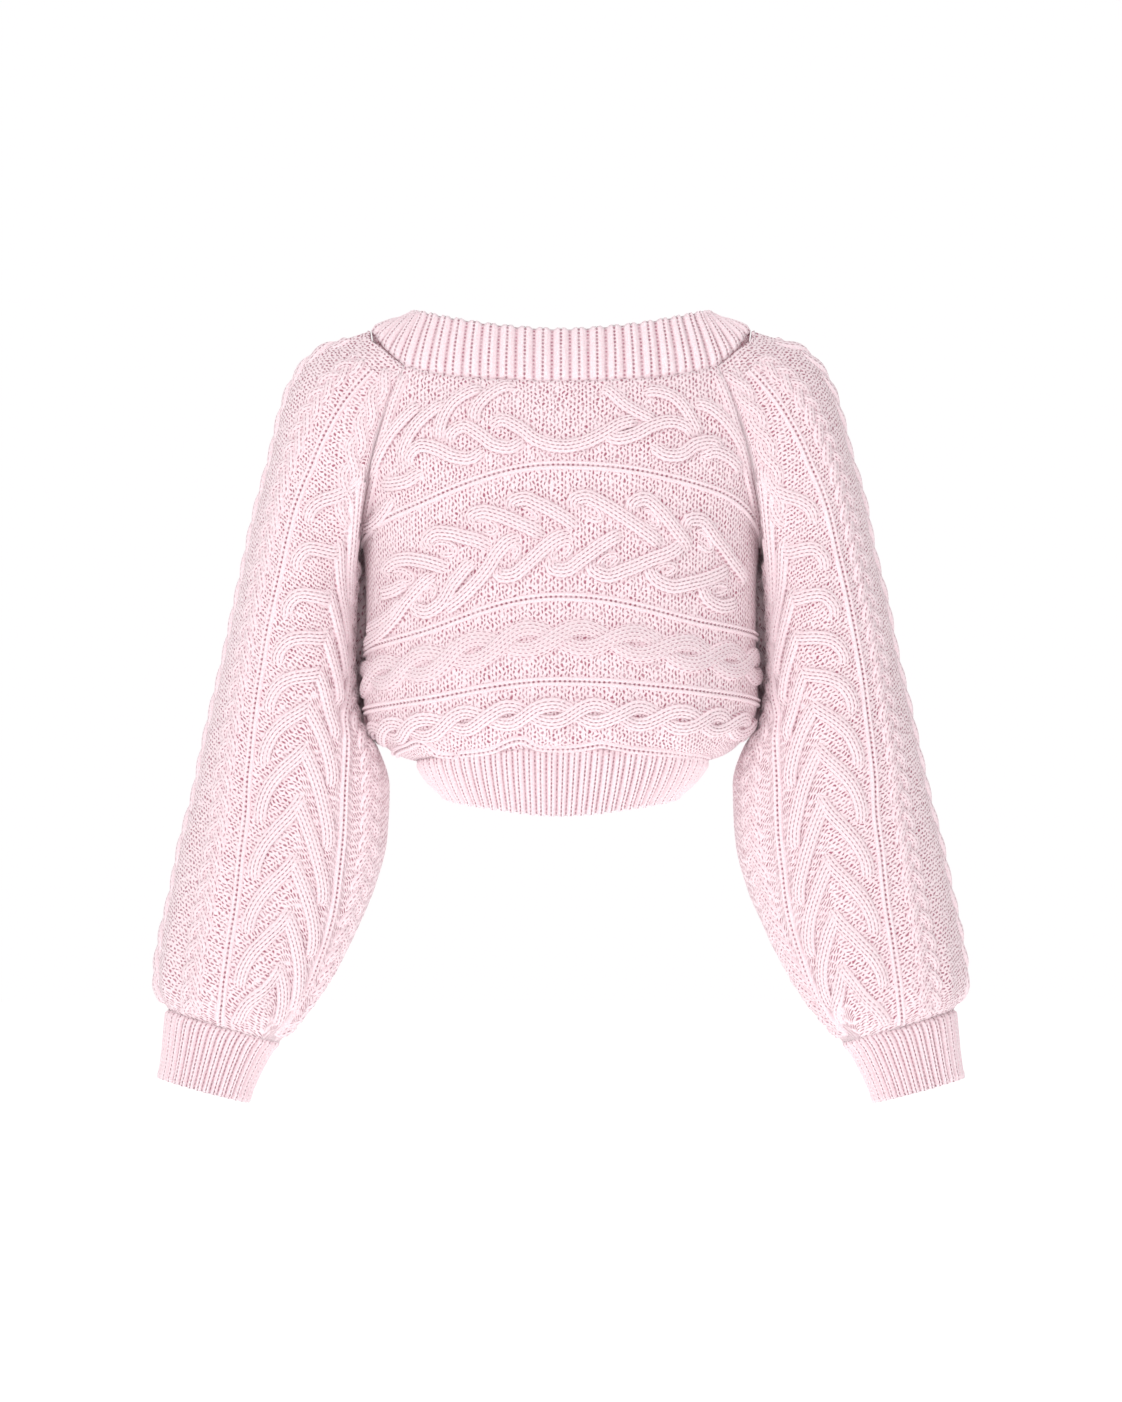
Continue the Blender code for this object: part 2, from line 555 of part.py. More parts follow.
class Piece:
    """One piece of cloth: a grid of outer points, closed round its columns when it is a tube."""

    def __init__(self, name, points, heights, tube, inner_steps, inner_rows=()):
        self.name = name
        self.points = points
        self.heights = heights
        self.tube = tube
        self.inner_steps = inner_steps
        self.inner_rows = inner_rows
        self.inward = self.inward_directions()
        self.drawn_back = np.zeros_like(points)

    def inward_directions(self):
        """Direction from the outer face towards the wearer at every point."""
        grid = self.points
        down = np.gradient(grid, axis=0)
        if self.tube:
            across = np.roll(grid, -1, axis=1) - np.roll(grid, 1, axis=1)
            direction = np.cross(down, across)
            to_middle = grid.mean(axis=1, keepdims=True) - grid
            return unit(direction) * (1.0 if (direction * to_middle).sum() > 0.0 else -1.0)
        return towards_axis(np.cross(down, np.gradient(grid, axis=1)), grid)

    def edge_indices(self):
        """Row and column indices of every point on the piece's edges."""
        rows, columns = self.points.shape[:2]
        edge = [(0, c) for c in range(columns)] + [(rows - 1, c) for c in range(columns)]
        if not self.tube:
            edge += [(r, c) for r in range(1, rows - 1) for c in (0, columns - 1)]
        return tuple(np.array(edge).T)

    def edge_samples(self):
        """Close samples of the edges: their points and inward directions."""
        points, inward = [], []
        shares = np.arange(0.0, 1.0, 1.0 / EDGE_SAMPLES)[:, None, None]
        for values, found in ((self.points, points), (self.inward, inward)):
            chains = [values[0], values[-1]]
            if self.tube:
                chains = [np.vstack((chain, chain[:1])) for chain in chains]
            else:
                chains += [values[:, 0], values[:, -1]]
            for chain in chains:
                found.append((chain[:-1] * (1.0 - shares) + chain[1:] * shares).reshape(-1, 3))
                found.append(chain[-1:])
        return np.vstack(points), unit(np.vstack(inward))

    def inset(self, grid, amount):
        """A grid that stops short of the piece's edges."""
        moved = grid.copy()
        moved[0] += unit(grid[1] - grid[0]) * amount
        moved[-1] += unit(grid[-2] - grid[-1]) * amount
        if not self.tube:
            moved[:, 0] += unit(grid[:, 1] - grid[:, 0]) * amount
            moved[:, -1] += unit(grid[:, -2] - grid[:, -1]) * amount
        return moved

    def faces(self):
        """Grids of the outer points, raised, and the inner ones, plain."""
        outer = self.inset(self.points, SEAM_INSET) + self.drawn_back
        inner = self.inset(self.points, SEAM_INSET + INNER_INSET) + self.drawn_back
        return outer - self.inward * self.heights[..., None], inner + self.inward * WALL


def share_seams(pieces):
    """Give touching edges one common direction through the cloth, so that walls stay parallel.

    Under the arms the sleeve folds back along the body, and there the common direction is upwards.
    """
    edges = [piece.edge_samples() for piece in pieces]
    for number, piece in enumerate(pieces):
        place = piece.edge_indices()
        here, own = piece.points[place], piece.inward[place]
        common = own.copy()
        for other, (there, theirs) in enumerate(edges):
            if other == number:
                continue
            gap = np.linalg.norm(here[:, None] - there[None], axis=2)
            weight = np.exp(-(gap / SEAM_SPREAD) ** 2) * (gap < SEAM_NEAR)
            total = weight.sum(axis=1, keepdims=True)
            share = np.minimum(1.0, 2.0 * total)
            neighbour = unit((weight @ theirs) / np.maximum(total, 1e-9))
            fold = np.clip(-(own * neighbour).sum(axis=1, keepdims=True), 0.0, 1.0) * share
            common += share * neighbour + fold * np.array((0.0, 0.0, 2.0))
            piece.drawn_back[place] += FOLD_GAP * fold * own
        piece.inward[place] = unit(common)


def kept_indices(count, step, always=()):
    """Every step-th index of a run, with the last one and any that are always kept."""
    return sorted(set(range(0, count, step)) | {count - 1} | set(always))


def stitch(mesh, fine, coarse, marks):
    """Close the rim between a fine chain of vertices and a coarse one; marks places coarse in fine."""
    for index in range(len(coarse) - 1):
        low, high = marks[index], marks[index + 1]
        middle = (low + high) // 2
        for step in range(low, middle):
            mesh.faces.new((coarse[index], fine[step], fine[step + 1]))
        mesh.faces.new((coarse[index], fine[middle], coarse[index + 1]))
        for step in range(middle, high):
            mesh.faces.new((coarse[index + 1], fine[step], fine[step + 1]))


def build_piece(piece, material):
    """Make the piece's solid: a raised outer face over a plain inner one."""
    outer, inner = (grid * MM for grid in piece.faces())
    rows, columns = outer.shape[:2]
    mesh = bmesh.new()
    outside = [[mesh.verts.new(outer[r, c]) for c in range(columns)] for r in range(rows)]
    row_marks = kept_indices(rows, piece.inner_steps[0], piece.inner_rows)
    if piece.tube:
        column_marks = list(range(0, columns, piece.inner_steps[1])) + [columns]
        outside = [line + line[:1] for line in outside]
    else:
        column_marks = kept_indices(columns, piece.inner_steps[1])
    inside = []
    inner_columns = column_marks[:-1] if piece.tube else column_marks
    for r in row_marks:
        line = [mesh.verts.new(inner[r, c]) for c in inner_columns]
        inside.append(line + line[:1] if piece.tube else line)
    for grid in (outside, inside):
        for above, below in zip(grid, grid[1:]):
            for c in range(len(above) - 1):
                mesh.faces.new((above[c], above[c + 1], below[c + 1], below[c]))
    stitch(mesh, outside[0], inside[0], column_marks)
    stitch(mesh, outside[-1], inside[-1], column_marks)
    if not piece.tube:
        for end in (0, -1):
            stitch(mesh, [line[end] for line in outside], [line[end] for line in inside], row_marks)
    bmesh.ops.recalc_face_normals(mesh, faces=mesh.faces)
    if mesh.calc_volume(signed=True) < 0.0:
        bmesh.ops.reverse_faces(mesh, faces=mesh.faces)
    data = bpy.data.meshes.new(piece.name)
    mesh.to_mesh(data)
    mesh.free()
    data.shade_smooth()
    data.materials.append(material)
    bpy.context.scene.collection.objects.link(bpy.data.objects.new(piece.name, data))


def yarn(name, colour):
    """Matte brushed yarn."""
    material = bpy.data.materials.new(name)
    material.use_nodes = True
    shader = material.node_tree.nodes["Principled BSDF"]
    shader.inputs["Base Color"].default_value = (*colour, 1.0)
    shader.inputs["Roughness"].default_value = YARN_ROUGHNESS
    return material


def band_seams(back, fronts, loops):
    """The seam of each stretch of band, as polylines through the edges of what it joins, in order."""
    head = {}
    for side, loop in loops.items():
        world = loop * np.array((side, 1.0, 1.0))
        ahead = np.vstack((world[:1], world[:-RAGLAN_TOP_COLUMN - 1:-1]))
        head[side] = np.vstack((world[RAGLAN_TOP_COLUMN:0:-1], ahead))
    neck = np.vstack((head[-1][::-1][:-1], back[0], head[1][1:]))
    down = {side: np.vstack((front[0], front[1:, -1], front[-1, -2::-1])) for side, front in fronts.items()}
    return {
        "band_neck": neck,
        "band_front_right": down[1],
        "band_hem": back[-1][::-1],
        "band_front_left": down[-1][::-1],
    }


def make_bolero():
    """Model every piece of the bolero."""
    for old in list(bpy.data.objects):
        bpy.data.objects.remove(old, do_unlink=True)
    cable_knit = yarn("brushed_cable_knit", KNIT_COLOUR)
    rib_knit = yarn("brushed_rib_knit", RIB_COLOUR)

    back, back_heights = back_panel()
    fronts = {side: front_panel(side) for side in (-1, 1)}
    loops = {side: armhole_loop(back, fronts[side][0], side) for side in (-1, 1)}
    back_heights[0] = back_heights[-1] = 0.0
    back_heights *= away_from_sides(back)

    by_armpit = (ARMHOLE_ROWS - 2, ARMHOLE_ROWS)
    pieces = [Piece("back", back, back_heights, False, (2, 2), by_armpit)]
    for side, word in ((-1, "left"), (1, "right")):
        sleeve, sleeve_heights = sleeve_panel(loops[side], side)
        pieces.append(Piece("front_" + word, *fronts[side], False, (1, 2)))
        pieces.append(Piece("sleeve_" + word, sleeve, sleeve_heights, True, (3, 2)))
        pieces.append(Piece("cuff_" + word, *cuff_panel(sleeve[-1], side), True, (3, 3)))
    seams = band_seams(back, {side: front for side, (front, _) in fronts.items()}, loops)
    for name, (points, heights) in band_pieces(seams).items():
        pieces.append(Piece(name, points, heights, False, (3, 1 if "front" in name else 3)))
    share_seams(pieces)
    for piece in pieces:
        rib = piece.name.startswith(("band", "cuff"))
        build_piece(piece, rib_knit if rib else cable_knit)


if __name__ == "__main__":
    make_bolero()
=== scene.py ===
"""Looks of the knit bolero, seen from behind.

Every CAD solid gives way to a knitted shell of the same form: plain purl ground on a curved face, with
ropes, plaits, staghorn cables and double ridges laid on it as strands of their own, and rib knit on the
bands and cuffs. Lengths here are millimetres and become metres as each mesh is made. "drop" is the
distance below the shoulder line, "reach" the one to the side of the middle. Distances along a face are
given by two numbers (u, v) that each surface explains.
"""

from __future__ import annotations

import logging
import math
from dataclasses import dataclass, field
from enum import Enum
from typing import Callable, Iterable, Sequence

import bmesh
import bpy
import numpy as np
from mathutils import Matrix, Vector

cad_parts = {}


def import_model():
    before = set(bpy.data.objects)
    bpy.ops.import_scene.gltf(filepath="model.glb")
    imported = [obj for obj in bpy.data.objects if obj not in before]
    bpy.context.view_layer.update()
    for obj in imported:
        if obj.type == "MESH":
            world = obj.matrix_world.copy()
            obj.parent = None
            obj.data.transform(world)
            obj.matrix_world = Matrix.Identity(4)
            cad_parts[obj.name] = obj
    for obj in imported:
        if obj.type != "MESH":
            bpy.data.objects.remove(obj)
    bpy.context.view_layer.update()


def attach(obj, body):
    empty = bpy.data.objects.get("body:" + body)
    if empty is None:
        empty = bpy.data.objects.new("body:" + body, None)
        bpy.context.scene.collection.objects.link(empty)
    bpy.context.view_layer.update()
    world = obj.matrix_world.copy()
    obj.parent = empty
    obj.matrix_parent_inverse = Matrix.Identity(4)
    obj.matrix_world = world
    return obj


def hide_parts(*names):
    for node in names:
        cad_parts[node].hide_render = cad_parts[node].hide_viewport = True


logging.basicConfig(level=logging.INFO, format="%(relativeCreated)d ms %(message)s")
LOG = logging.getLogger("bolero")

Row = tuple[float, ...]
Table = tuple[Row, ...]

MM = 0.001
WALL = 2.6                 # thickness of the plain cloth
SECTION_POWER = 2.2        # 2 is an ellipse, more is squarer
PHOTO_SCALE = 0.85         # millimetres for each pixel of the photograph
PHOTO_MIDDLE = 561.0       # pixel column of the garment's middle
PHOTO_TOP = 311.0          # pixel row of the shoulder line
IMAGE_SIZE = (1122, 1402)
SIDES = ((-1, "left"), (1, "right"))

BODY_SECTIONS = (
    # drop, half width, back depth, front depth
    (17.0, 165.0, 40.0, 60.0),
    (46.0, 176.0, 62.0, 84.0),
    (61.0, 178.0, 72.0, 90.0),
    (80.0, 180.0, 82.0, 96.0),
    (110.0, 180.0, 93.0, 104.0),
    (150.0, 176.0, 102.0, 113.0),
    (199.0, 169.0, 108.0, 120.0),
    (250.0, 166.5, 111.0, 121.0),
    (300.0, 167.0, 113.0, 115.0),
    (330.0, 168.5, 112.0, 103.0),
    (352.0, 163.5, 109.0, 86.0),
    (371.0, 149.0, 102.0, 66.0),
    (379.0, 136.0, 97.0, 57.0),
    (384.0, 119.0, 92.0, 50.0),
    (390.0, 100.0, 86.0, 45.0),
)
BACK_LINES = (
    # drops of neck seam, three ridges and hem seam at five stations across the back
    (47.0, 58.0, 61.0, 58.0, 47.0),
    (199.0, 168.0, 133.0, 153.0, 199.0),
    (292.0, 275.0, 244.0, 266.0, 278.0),
    (341.0, 332.0, 315.0, 324.0, 334.0),
    (384.0, 378.0, 371.0, 376.0, 384.0),
)
LINE_STATIONS = (-1.0, -0.5, 0.0, 0.5, 1.0)
RAGLAN_BACK = ((47.0, 133.0), (85.0, 146.0), (125.0, 157.0), (165.0, 165.0), (199.0, 169.0))
RAGLAN_FRONT = ((56.0, 150.0), (95.0, 155.0), (130.0, 161.0), (168.0, 166.5), (199.0, 169.0))
FRONT_SEAM = (
    # drop, reach
    (67.0, 147.5),
    (88.0, 143.0),
    (120.0, 138.5),
    (160.0, 134.0),
    (210.0, 130.0),
    (260.0, 127.0),
    (305.0, 125.0),
    (340.0, 123.0),
    (367.0, 121.0),
    (375.0, 120.3),
    (380.5, 119.5),
)
HEM_GATHERS = (
    # reach, half width, height
    (-113.0, 15.0, 4.5),
    (-62.0, 14.0, 3.0),
    (-12.0, 17.0, 6.0),
    (45.0, 14.0, 4.0),
    (104.0, 16.0, 4.5),
)
GATHER_FADE = 75.0         # how far up the hem's gathers reach
SEAM_FADE = 0.12           # share of a knit line or width over which relief fades to a seam
# Points of a sleeve head between the raglans, where the neck band is sewn on
SLEEVE_HEAD_BACK = (151.0, -24.0, -30.0)
SLEEVE_HEAD_TOP = (162.0, 2.0, -15.0)
SLEEVE_HEAD_FRONT = (160.0, 30.0, -30.0)
BAND_EDGE = (
    # share of half the loop, reach, forward, drop
    (0.000, 0.0, -50.0, 17.0),
    (0.060, 52.0, -48.0, 13.5),
    (0.115, 94.0, -36.0, 6.5),
    (0.160, 118.0, -15.0, 1.0),
    (0.200, 125.0, 8.0, 0.0),
    (0.250, 122.0, 36.0, 12.0),
    (0.310, 112.0, 60.0, 46.0),
    (0.390, 101.0, 82.0, 100.0),
    (0.475, 92.0, 96.0, 165.0),
    (0.560, 86.0, 103.0, 230.0),
    (0.640, 83.0, 101.0, 290.0),
    (0.710, 85.0, 86.0, 344.0),
    (0.765, 92.0, 58.0, 384.0),
    (0.825, 100.0, 16.0, 406.0),
    (0.880, 97.0, -26.0, 413.0),
    (0.930, 66.0, -62.0, 420.5),
    (1.000, 0.0, -84.0, 428.0),
)
SLEEVE_RINGS = (
    # outer reach and drop, inner reach and drop, back and front half depth, forward, then the side
    # angles of ridge, cable and inner ridge
    (162.0, 15.0, 169.0, 199.0, 48.0, 50.0, 0.0, 38.0, 60.0, 100.0),
    (209.0, 33.0, 172.0, 211.0, 54.0, 56.0, 0.0, 60.0, 96.0, 126.0),
    (229.0, 59.0, 174.0, 224.0, 59.0, 60.0, 1.0, 67.0, 110.0, 141.0),
    (239.0, 87.0, 175.5, 240.0, 62.0, 63.0, 2.0, 70.0, 118.0, 150.0),
    (248.0, 122.0, 176.5, 259.0, 65.0, 66.0, 3.0, 69.0, 121.0, 156.0),
    (258.0, 161.0, 177.0, 283.0, 67.0, 68.0, 4.0, 68.0, 122.0, 159.0),
    (268.0, 206.0, 176.5, 307.0, 68.0, 69.0, 6.0, 66.0, 120.0, 157.0),
    (278.0, 249.0, 174.5, 331.0, 69.0, 70.0, 8.0, 64.5, 115.0, 150.0),
    (288.0, 297.0, 168.5, 352.0, 69.0, 70.0, 11.0, 63.0, 105.0, 137.0),
    (297.5, 337.0, 156.0, 372.0, 69.0, 70.0, 13.0, 62.0, 99.0, 129.0),
    (308.0, 383.0, 147.0, 405.0, 68.0, 70.0, 15.0, 62.4, 95.4, 123.0),
    (315.0, 416.0, 148.8, 448.0, 67.0, 69.0, 17.0, 65.0, 96.0, 124.0),
    (325.0, 454.0, 159.0, 490.0, 66.0, 68.0, 20.0, 69.0, 100.0, 129.0),
    (333.0, 492.0, 174.3, 526.0, 64.0, 66.0, 23.0, 73.5, 105.8, 136.0),
    (341.0, 530.0, 193.0, 562.0, 61.0, 63.0, 26.0, 78.0, 113.0, 141.0),
    (345.0, 564.0, 214.0, 591.0, 55.0, 57.0, 28.0, 83.0, 122.0, 146.0),
    (343.0, 584.0, 231.0, 611.0, 47.0, 48.0, 29.0, 87.0, 130.0, 150.0),
    (336.6, 596.0, 241.4, 624.0, 38.0, 39.0, 30.0, 89.0, 134.0, 151.0),
)
LINE_LEVELS = (65.0, 95.0, 124.5)      # levels of a sleeve's ridge, cable and inner ridge
HEAD_FADE_RINGS = 4.5      # the armhole's form is lost over this many rings
BODY_CLEARANCE = 2.0       # least distance from the body to the sleeve, past the armhole
ARMHOLE_FADE = 36.0        # distance over which it and the sleeve's unevenness come in
CUFF_RINGS = (
    # outer reach and drop, inner reach and drop, half depth, forward
    (336.6, 596.0, 241.4, 624.0, 38.5, 30.0),
    (337.6, 604.0, 248.0, 630.0, 36.5, 30.5),
    (340.0, 630.0, 260.5, 652.0, 34.0, 32.0),
    (343.4, 655.0, 270.3, 675.0, 32.0, 33.5),
)
# Sleeve levels at which rows of the body meet the armhole, from the raglan's top to the armpit
ARMHOLE_LEVELS = (95.0, 107.0, 118.0, 124.5, 131.0, 146.0, 161.0, 180.0)
ARMHOLE_POSITIONS = (0.0, 0.14, 0.29, 0.44, 0.59, 0.74, 0.88, 1.0)

# Shown width of one rib repeat, stretched at the neck and drawn in at the hem and cuffs
NECK_RIB, FRONT_RIB, HEM_RIB, CUFF_RIB = 15.6, 12.6, 9.6, 8.6
BAND_STRETCHES = {
    # name: rib repeat, shares of the loop where the free edge starts and ends
    "band_neck": (NECK_RIB, -0.300, 0.300),
    "band_front_right": (FRONT_RIB, 0.300, 0.838),
    "band_hem": (HEM_RIB, 0.838, 1.162),
    "band_front_left": (FRONT_RIB, 1.162, 1.700),
}
BAND_BULGE = 3.0           # how far a band's middle stands out from seam and edge
RIB_REPEAT = 15.6              # width of one repeat's four wales, laid flat

# Strands of the arched cable over the first ridge, as pixels of the photograph
UPPER_CABLE = (
    ((474, 428), (476, 413), (486, 400), (500, 391), (518, 386)),
    ((438, 444), (443, 422), (452, 406), (466, 396), (486, 389)),
    ((401, 466), (408, 442), (418, 426), (432, 413), (448, 402)),
    ((370, 484), (379, 458), (390, 438), (404, 421), (422, 404)),
    ((346, 512), (356, 486), (366, 464), (378, 446), (392, 430)),
    ((601, 387), (612, 396), (626, 408), (642, 417), (658, 424)),
    ((640, 394), (656, 394), (672, 399), (684, 411), (692, 425), (700, 440)),
    ((692, 404), (708, 409), (722, 420), (734, 436), (744, 454)),
    ((724, 414), (740, 425), (752, 441), (762, 459), (770, 476)),
    ((746, 422), (760, 436), (772, 454), (780, 474), (785, 492)),
    ((350, 530), (364, 528), (378, 521), (387, 510), (392, 497)),
    ((362, 505), (368, 492), (380, 484), (396, 485), (410, 482), (424, 472)),
    ((408, 470), (411, 457), (421, 448), (438, 451), (456, 459), (472, 460), (486, 449)),
    ((448, 448), (453, 435), (464, 429), (480, 437), (496, 448), (511, 450), (526, 440)),
    ((698, 458), (712, 453), (726, 458), (742, 474), (758, 488), (776, 484)),
    ((650, 446), (662, 456), (678, 457), (696, 446), (710, 444), (724, 452)),
    ((602, 434), (614, 441), (632, 438), (650, 429), (668, 424), (684, 428), (696, 440)),
    ((489, 428), (503, 423), (520, 431), (537, 443), (560, 449), (582, 446), (600, 438), (619, 427),
     (640, 421)),
)
# Strands of the wide cable between the first two ridges
MIDDLE_CABLE_LOWER = (
    ((352, 640), (368, 632), (384, 622), (398, 610), (406, 598)),
    ((366, 646), (382, 634), (396, 620), (409, 602), (423, 586), (437, 573)),
    ((420, 598), (417, 607), (428, 613), (443, 604), (454, 586), (466, 571), (476, 560)),
    ((444, 612), (458, 603), (474, 588), (489, 570), (499, 554), (510, 543), (522, 538)),
    ((500, 566), (500, 576), (512, 577), (528, 565), (544, 550), (558, 540), (572, 535)),
    ((552, 558), (552, 569), (564, 572), (582, 561), (598, 549), (612, 540), (624, 534)),
    ((592, 560), (592, 570), (604, 577), (626, 571), (650, 561), (672, 552), (684, 541)),
    ((648, 564), (651, 577), (667, 587), (690, 584), (712, 577), (730, 568)),
    ((700, 582), (704, 598), (718, 607), (738, 602), (758, 594), (772, 586)),
)
MIDDLE_CABLE_UPPER = (
    ((352, 590), (364, 593), (380, 595), (396, 591), (410, 583)),
    ((390, 581), (388, 572), (396, 563), (409, 560), (424, 562), (438, 566), (450, 571)),
    ((432, 552), (429, 543), (437, 535), (451, 535), (466, 539), (480, 543), (492, 549)),
    ((474, 528), (472, 519), (482, 514), (499, 517), (514, 523), (530, 530), (546, 538)),
    ((514, 514), (512, 507), (524, 501), (538, 506), (552, 513), (566, 521), (578, 530)),
    ((574, 514), (573, 504), (584, 499), (600, 505), (618, 516), (640, 531), (662, 548)),
    ((632, 518), (631, 507), (643, 501), (657, 511), (672, 529), (690, 553)),
    ((684, 534), (686, 523), (698, 521), (714, 539), (731, 562), (746, 584)),
)
# Small loops where a strand of the middle cable turns over: middle pixel, half length, half width, tilt
CABLE_EYES = (
    (404, 577, 11, 6, 20), (446, 550, 11, 6, 15), (487, 528, 11, 6, 25), (530, 516, 10, 5, 35),
    (592, 514, 11, 6, 40), (650, 520, 11, 6, 50), (703, 542, 11, 6, 55),
    (428, 596, 11, 6, -50), (510, 557, 12, 6, -45), (562, 553, 11, 6, -40), (608, 563, 10, 5, -30),
    (664, 571, 10, 5, -15), (716, 590, 10, 5, -10),
)
# Ridge that ripples over the gathers of the hem
HEM_RIDGE = ((396, 754), (410, 745), (426, 740), (443, 753), (458, 758), (472, 759), (493, 748), (507, 742),
             (521, 739), (547, 746), (560, 749), (573, 750), (590, 745), (606, 741), (628, 748), (644, 751),
             (660, 752), (674, 752), (688, 754), (700, 760), (712, 768))


class Knit(Enum):
    """What a face is knitted in, which sets its pattern of holes and its relief."""

    GROUND = "ground"
    STRAND = "strand"
    RIDGE = "ridge"
    RIB = "rib"
    CHAIN = "chain"


@dataclass(frozen=True)
class YarnFinish:
    """Colours and surface of the brushed yarn, and the colour of the painted shade in its holes.

    Args:
        light: sRGB hex of the fibre in full light.
        heather: sRGB hex that flecks the yarn.
        shade_colour: sRGB hex of the painted shade in the holes between stitches and in the troughs of ribs.
        roughness: spread of its shine.
        sheen: share of light its fuzz catches.
        wander: waves of the stitches' stray from their grid, in 100 mm.
        flecks: flecks of the heather, in 100 mm.
        patches: patches of darker and lighter painted shade in the holes, in 100 mm.
    """

    light: str = "#f7e8ec"
    heather: str = "#edcfd6"
    # painted shade: colour of the shade in the holes between stitches and in the troughs of ribs
    shade_colour: str = "#a95f73"
    roughness: float = 0.95
    sheen: float = 0.35
    wander: float = 19.0
    flecks: float = 90.0
    patches: float = 13.0

    @staticmethod
    def scale(count: float) -> float:
        """Scale of a noise on Object coordinates that has a count of features in 100 mm."""
        return count / (100.0 * MM)


@dataclass(frozen=True)
class Pattern:
    """Grid of holes of one kind of knitting, in millimetres.

    Args:
        across: distance between columns of holes.
        along: distance between the holes of a column.
        size: half width and half length of a hole.
        stagger: share of a repeat by which each column is set off.
        depth: how dark the painted shade in a hole is, from 0 to 1.
        wander: how far the holes stray from their grid.
        trough_shade: how dark the painted shade in the trough between two ribs is, from 0 to 1.
    """

    across: float
    along: float
    size: tuple[float, float]
    stagger: float
    depth: float
    wander: float
    trough_shade: float = 0.0


PATTERNS = {
    Knit.GROUND: Pattern(3.3, 4.6, (0.85, 1.7), 0.5, 1.0, 2.6),
    Knit.STRAND: Pattern(3.1, 4.4, (0.50, 1.6), 0.5, 0.80, 0.4),
    Knit.RIDGE: Pattern(9.0, 4.2, (1.1, 1.25), 0.0, 1.0, 0.25),
    Knit.RIB: Pattern(7.8, 3.6, (1.15, 1.35), 0.5, 0.9, 0.3, 0.32),
    Knit.CHAIN: Pattern(3.0, 5.0, (0.7, 1.7), 0.5, 0.8, 0.4),
}


def linear(colour: str) -> tuple[float, float, float, float]:
    """Scene-linear colour of an sRGB hex code."""
    parts = [int(colour[i:i + 2], 16) / 255.0 for i in (1, 3, 5)]
    values = [p / 12.92 if p <= 0.04045 else ((p + 0.055) / 1.055) ** 2.4 for p in parts]
    return (*values, 1.0)


def hermite(t: np.ndarray, span: np.ndarray, ends: tuple, slopes: tuple) -> np.ndarray:
    """Cubic between two values whose slopes are given.

    Args:
        t: share of the way, from 0 to 1.
        span: distance between the two ends.
        ends: values at the start and at the end.
        slopes: slopes at the start and at the end.

    Returns:
        The values.
    """
    return (ends[0] * (1.0 + 2.0 * t) * (1.0 - t) ** 2 + slopes[0] * span * t * (1.0 - t) ** 2
            + ends[1] * t * t * (3.0 - 2.0 * t) + slopes[1] * span * t * t * (t - 1.0))


def through(at: Iterable[float], knots: Sequence[float], values: Sequence) -> np.ndarray:
    """Smooth curve through a table's rows that never overshoots them.

    Args:
        at: places to read, of any shape.
        knots: rising places of the rows.
        values: the rows, numbers or tuples.

    Returns:
        The curve's values, with the rows' width as a last axis where they are tuples.
    """
    at = np.asarray(at, float)
    shape = at.shape
    knots = np.asarray(knots, float)
    values = np.asarray(values, float)
    flat = values.ndim == 1
    if flat:
        values = values[:, None]
    step = np.diff(knots)[:, None]
    rise = np.diff(values, axis=0) / step
    before, after = rise[:-1], rise[1:]
    same_way = before * after > 0.0
    total = np.where(same_way, before + after, 1.0)
    slope = np.vstack((rise[:1], np.where(same_way, 2.0 * before * after / total, 0.0), rise[-1:]))
    line = at.reshape(-1)
    place = np.clip(np.searchsorted(knots, line, side="right") - 1, 0, len(knots) - 2)
    span = step[place]
    t = np.clip((line - knots[place])[:, None] / span, 0.0, 1.0)
    result = hermite(t, span, (values[place], values[place + 1]), (slope[place], slope[place + 1]))
    return result.reshape(shape) if flat else result.reshape(shape + (values.shape[1],))


def read(table: Sequence, at: np.ndarray, index: int = 1) -> np.ndarray:
    """Smooth reading of a table's column at values of its first column."""
    return through(at, [row[0] for row in table], [row[index] for row in table])


def flowing(points: np.ndarray, step: float, metric: np.ndarray) -> np.ndarray:
    """Even samples of a smooth curve through a few control points.

    Args:
        points: control points, one a row.
        step: distance between samples.
        metric: distance along the curve of each control point.

    Returns:
        The samples, one a row.
    """
    count = max(6, int(metric[-1] / step) + 1)
    at = np.linspace(0.0, metric[-1], count)
    slope = np.gradient(points, metric, axis=0)
    place = np.clip(np.searchsorted(metric, at, side="right") - 1, 0, len(metric) - 2)
    span = np.diff(metric)[place][:, None]
    t = (at - metric[place])[:, None] / span
    return hermite(t, span, (points[place], points[place + 1]), (slope[place], slope[place + 1]))


def within(at: np.ndarray, start: tuple[float, float], end: tuple[float, float]) -> np.ndarray:
    """1 inside a range and 0 outside it, with each end given as its place and its width of fade."""
    return np.clip((at - start[0]) / start[1], 0.0, 1.0) * np.clip((end[0] - at) / end[1], 0.0, 1.0)


def mirror(side: int) -> np.ndarray:
    """Factors that turn a right piece's points into those of a side, 1 for right and -1 for left."""
    return np.array((side, 1.0, 1.0))


def path_over(u: np.ndarray | float, v: np.ndarray | float) -> np.ndarray:
    """Path of places (u, v), of which one number may stay the same."""
    return np.stack(np.broadcast_arrays(u, v), axis=1)


def unit(vectors: np.ndarray) -> np.ndarray:
    """Vectors at length one."""
    return vectors / np.maximum(np.linalg.norm(vectors, axis=-1, keepdims=True), 1e-9)


def polyline(points: np.ndarray, at: np.ndarray) -> np.ndarray:
    """Points of an open polyline at shares of its length."""
    length = arc(points, 0)
    return np.stack([np.interp(np.asarray(at) * length[-1], length, points[:, k]) for k in range(3)], -1)


def arc(points: np.ndarray, axis: int) -> np.ndarray:
    """Distance along one axis of a line or grid of points, from its start."""
    steps = np.linalg.norm(np.diff(points, axis=axis), axis=-1)
    length = np.cumsum(steps, axis=axis)
    first = np.zeros_like(np.take(length, [0], axis=axis))
    return np.concatenate((first, length), axis=axis)


def body_size(drop: np.ndarray, index: int) -> np.ndarray:
    """Half width (1), back depth (2) or front depth (3) of the body at a drop."""
    return read(BODY_SECTIONS, drop, index)


